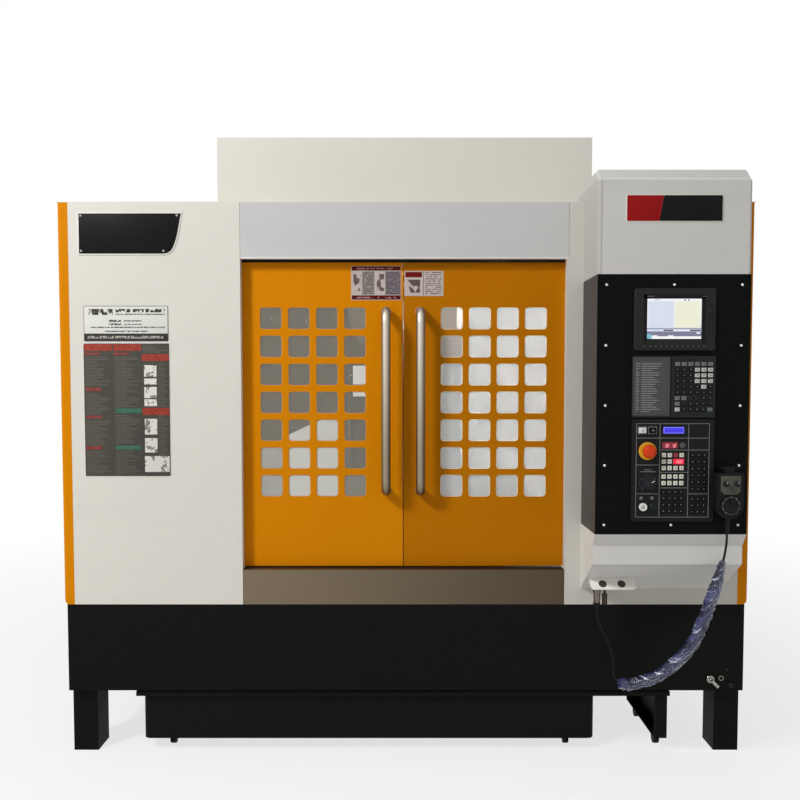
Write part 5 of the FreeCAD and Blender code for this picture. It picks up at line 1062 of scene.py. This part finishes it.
# Override knob with its pointer, and the scale round it.
knob_black = rubber("knob_black", (38, 39, 44))
knob_x, knob_z, knob_angle = 757, 963, math.radians(62)
shape = turned(at(knob_x, -208.6, knob_z), [
    (0, 6), (0.4, 6), (0.4, 22), (1.6, 22), (6.2, 21.2), (6.8, 19.5), (7.2, 14.5), (19, 13.5), (20, 10.5),
    (20.2, 0)], 48)
turned_block(knob_x, knob_z, knob_angle, -3.5, 3.5, -229, -215.6, -18, 18, 1.2, 2, into=shape)
piece_of("override_grip", shape, knob_black, "black_plastic", "override_knob", body="override_knob")
shape = turned_block(knob_x, knob_z, knob_angle, -1.1, 1.1, -229.3, -228.8, 7, 17.6, 0.1)
piece_of("override_pointer", shape, plate_white, "light_plastic", body="override_knob")
scale = bmesh.new()
for k in range(15):
    turned_block(knob_x, knob_z, math.radians(-140 + 20 * k), -0.5, 0.5, face - 0.5, face, 24.2,
                 26 if k % 2 else 27.4, into=scale)
for x0, x1, z in ((733, 781, 998), (746, 768, 1004)):
    block(x0, x1, face - 0.5, face, z - 0.6, z + 0.6, into=scale)
for x in (737, 771):
    turned(at(x, face, 915), [(0, 3), (0.6, 3), (0.6, 4.6), (0, 4.6), (0, 3)], 20, into=scale)
    block(x - 1.4, x + 1.4, face - 0.5, face, 914.3, 915.7, into=scale)
piece_of("override_scale", scale, mark_light, "light_plastic")

# Power buttons in their frames, the round start button with its grey centre, and an unlit green lens.
for body, x, finish, slot in (("power_on", 738, rubber("button_white", (226, 228, 236)), "light_plastic"),
                              ("power_off", 770, rubber("button_black", (14, 14, 15)), "black_plastic")):
    shape = block(x - 11, x + 11, -213, -205, 1119.5, 1136.5, 1, 2)
    piece_of(body + "_cap", shape, finish, slot, body + "_button", body=body)
for body, x, finish, slot in (("power_on", 738, mark_dark, "black_plastic"),
                              ("power_off", 770, mark_light, "light_plastic")):
    piece_of(body + "_mark", block(x - 2, x + 2, -213.25, -212.8, 1126, 1130, 0.1), finish, slot, body=body)
rims = bmesh.new()
for x in (738, 770):
    for x0, x1, z0, z1 in ((x - 13.4, x + 13.4, 1138, 1139.4), (x - 13.4, x + 13.4, 1116.6, 1118),
                           (x - 13.4, x - 12, 1118, 1138), (x + 12, x + 13.4, 1118, 1138)):
        block(x0, x1, -207.2, face, z0, z1, 0.2, into=rims)
piece_of("button_frames", rims, mark_light, "light_plastic")
shape = turned(at(743, -205, 887), [(0, 12.5), (6.4, 12.5), (8, 11.4), (8, 6.6), (7.2, 6)], 40)
piece_of("start_cap", shape, rubber("start_white", (232, 232, 226)), "light_plastic", "cycle_start_button",
         body="cycle_start")
piece_of("start_centre", turned(at(743, -212, 887), [(0, 5.9), (0.5, 5.6), (0.6, 0)], 28),
         rubber("start_grey", (168, 166, 158)), "light_plastic", body="cycle_start")
shape = turned(at(774, face, 887), [
    (0, 13), (2, 13), (2.6, 12), (2.6, 11), (5.6, 10.6), (6.6, 9.4), (7, 0)], 36)
piece_of("green_lens", shape, moulded("lens_green", (10, 24, 18)), "black_plastic")


# ---------------- hand pendant
# A black moulded box hung on the plate's hook by the lip at its neck: a grey-green face plate with
# two pointer knobs over a hand wheel with fifty fine marks, and a tapered cable relief below.

dress(rubber("pendant_plastic", (20, 20, 21)), "pendant_body")
face_outline = [(968.8, 990), (968.8, 943.8), (980.5, 932), (1019.5, 932), (1031.2, 943.8), (1031.2, 990)]
piece_of("pendant_face", plate(face_outline, -252.4, -251.3, edge=0.25),
         printed("pendant_face", (88, 88, 79)), "light_plastic")
for body, x in (("pendant_axis", 982.5), ("pendant_rate", 1017.5)):
    shape = turned(at(x, -252.6, 966), [
        (0, 8.5), (2.4, 8.5), (3.2, 7.6), (16.4, 5.8), (17.2, 5), (17.4, 0)], 36)
    block(x - 2.4, x + 2.4, -269.6, -256, 957.6, 974.4, 0.8, 2, into=shape)
    piece_of(body + "_grip", shape, knob_black, "black_plastic", body + "_knob", body=body)
    shape = block(x - 0.7, x + 0.7, -269.9, -269.4, 968, 973.6, 0.1)
    piece_of(body + "_pointer", shape, plate_white, "light_plastic", body=body)
wheel_x, wheel_z, wheel_marks = 1000, 898, 50
wheel = turned(at(wheel_x, -251, wheel_z), [
    (0, 31), (1.2, 31), (5.6, 30.2), (6.4, 29), (6.4, 24.4), (7.4, 23.4), (11.2, 22.4), (12, 21.4),
    (12, 18), (11.4, 17)], 60)
turned(at(wheel_x, -262, 912), [(0, 5.6), (1.5, 6), (8.8, 5.2), (10, 3.4)], 24, into=wheel)
piece_of("hand_wheel", wheel, rubber("wheel_black", (24, 24, 25)), "black_plastic", "pendant_handwheel",
         body="pendant_wheel")
ticks = bmesh.new()
for k in range(wheel_marks):
    half, end = (0.35, 27.2) if k % 5 else (0.8, 28.6)
    angle = 2 * math.pi * k / wheel_marks
    turned_block(wheel_x, wheel_z, angle, -half, half, -257.7, -257.2, 25.2, end, into=ticks)
piece_of("wheel_marks", ticks, mark_light, "light_plastic", body="pendant_wheel")


# ---------------- connector bracket and air fittings
# White bent sheet under the console with two round sockets and a spare connector beside the lead's
# own, and the plated air inlet low on the apron.

dress(powder_coat("bracket_paint", (246, 244, 236)), "connector_bracket")
down_slope = Vector((0, -1, -1)).normalized()
face_out = Vector((0, -1, 1)).normalized()
pins, pin_circle = 6, 0.0056
sockets = bmesh.new()
for x in (649, 711):
    middle = at(x, -87.3, 612.8)
    turned(middle - face_out * 0.004, [
        (0, 13.1), (5.6, 13.1), (6.2, 12.5), (6.2, 11.4), (4.9, 10.8)], 40, face_out, into=sockets)
    for k in range(pins):
        angle = 2 * math.pi * k / pins
        out = Vector((1, 0, 0)) * math.cos(angle) + down_slope * math.sin(angle)
        turned(middle + face_out * 0.0006 + out * pin_circle, [(0, 1.2), (1.6, 1.2), (2.2, 0)], 10,
               face_out, into=sockets)
piece_of("bracket_sockets", sockets, rubber("socket_grey", (74, 74, 70)), "grey_plastic")
spare = turned(at(656, -88, 597), [
    (0, 4.3), (15.2, 4.3), (15.8, 8.9), (22, 9.1), (22.6, 8.7), (43, 8.7), (43.6, 9.2), (50.6, 9.2),
    (51.4, 8)], 36, (0, 0, -1))
piece_of("spare_connector", spare, plated("dark_plate", (58, 44, 34), 0.3, 0.6), "nickel")

# The inlet: a chrome ring with its pin and a slanting elbow; then a dark port with a thin pale rim, a hose
# port and a screw.
chrome = plated("chrome_fitting", (164, 161, 154), 0.14)
slant = Vector((1, 0, -1)).normalized()
fittings = turned(at(1040, 1, 265), [
    (0, 12), (3, 12), (3.6, 12.5), (12.4, 12.5), (13.2, 11.8), (16, 11.4), (16, 8.2), (5.2, 7.8),
    (5.2, 3.1), (14, 3.1), (14.4, 2.4)], 40)
turned(at(1040, -7, 265) + slant * 0.009, [
    (0, 5.6), (4, 5.6), (4.6, 6.2), (6.4, 6.2), (7, 5.4), (8.4, 5.4), (9, 6.2), (19, 6.2), (19.8, 5.2),
    (22.6, 5.2), (23.2, 6.1), (30.2, 6.1), (31.2, 5.2)], 32, slant, into=fittings)
piece_of("air_inlet", fittings, chrome, "painted_fitting", "air_fittings")
ports = turned(at(1078, 1, 267), [(0, 8.6), (7, 8.6), (8, 8), (8, 6.3), (2, 5.6)], 32)
turned(at(1114, 1, 241), [(0, 8), (10, 8), (12, 7.2), (14, 6.8), (14, 4.4), (8, 4)], 32, into=ports)
turned(at(1102, 1, 294), [(0, 3.6), (2.2, 3.5), (3, 2.6), (3.1, 0)], 18, into=ports)
piece_of("air_ports", ports, rubber("port_grey", (52, 50, 46)), "painted_fitting")
rim = turned(at(1078, -6.6, 267), [(0, 7.8), (0.9, 8.3), (0.9, 6.9), (0, 7.8)], 40)
piece_of("port_rim", rim, chrome, "painted_fitting")


# ---------------- electrical cabinet
# A flat box of white sheet on the rear panel with a hinged door and a lever latch.

dress(warm_white, "electrical_cabinet", "cabinet_door")
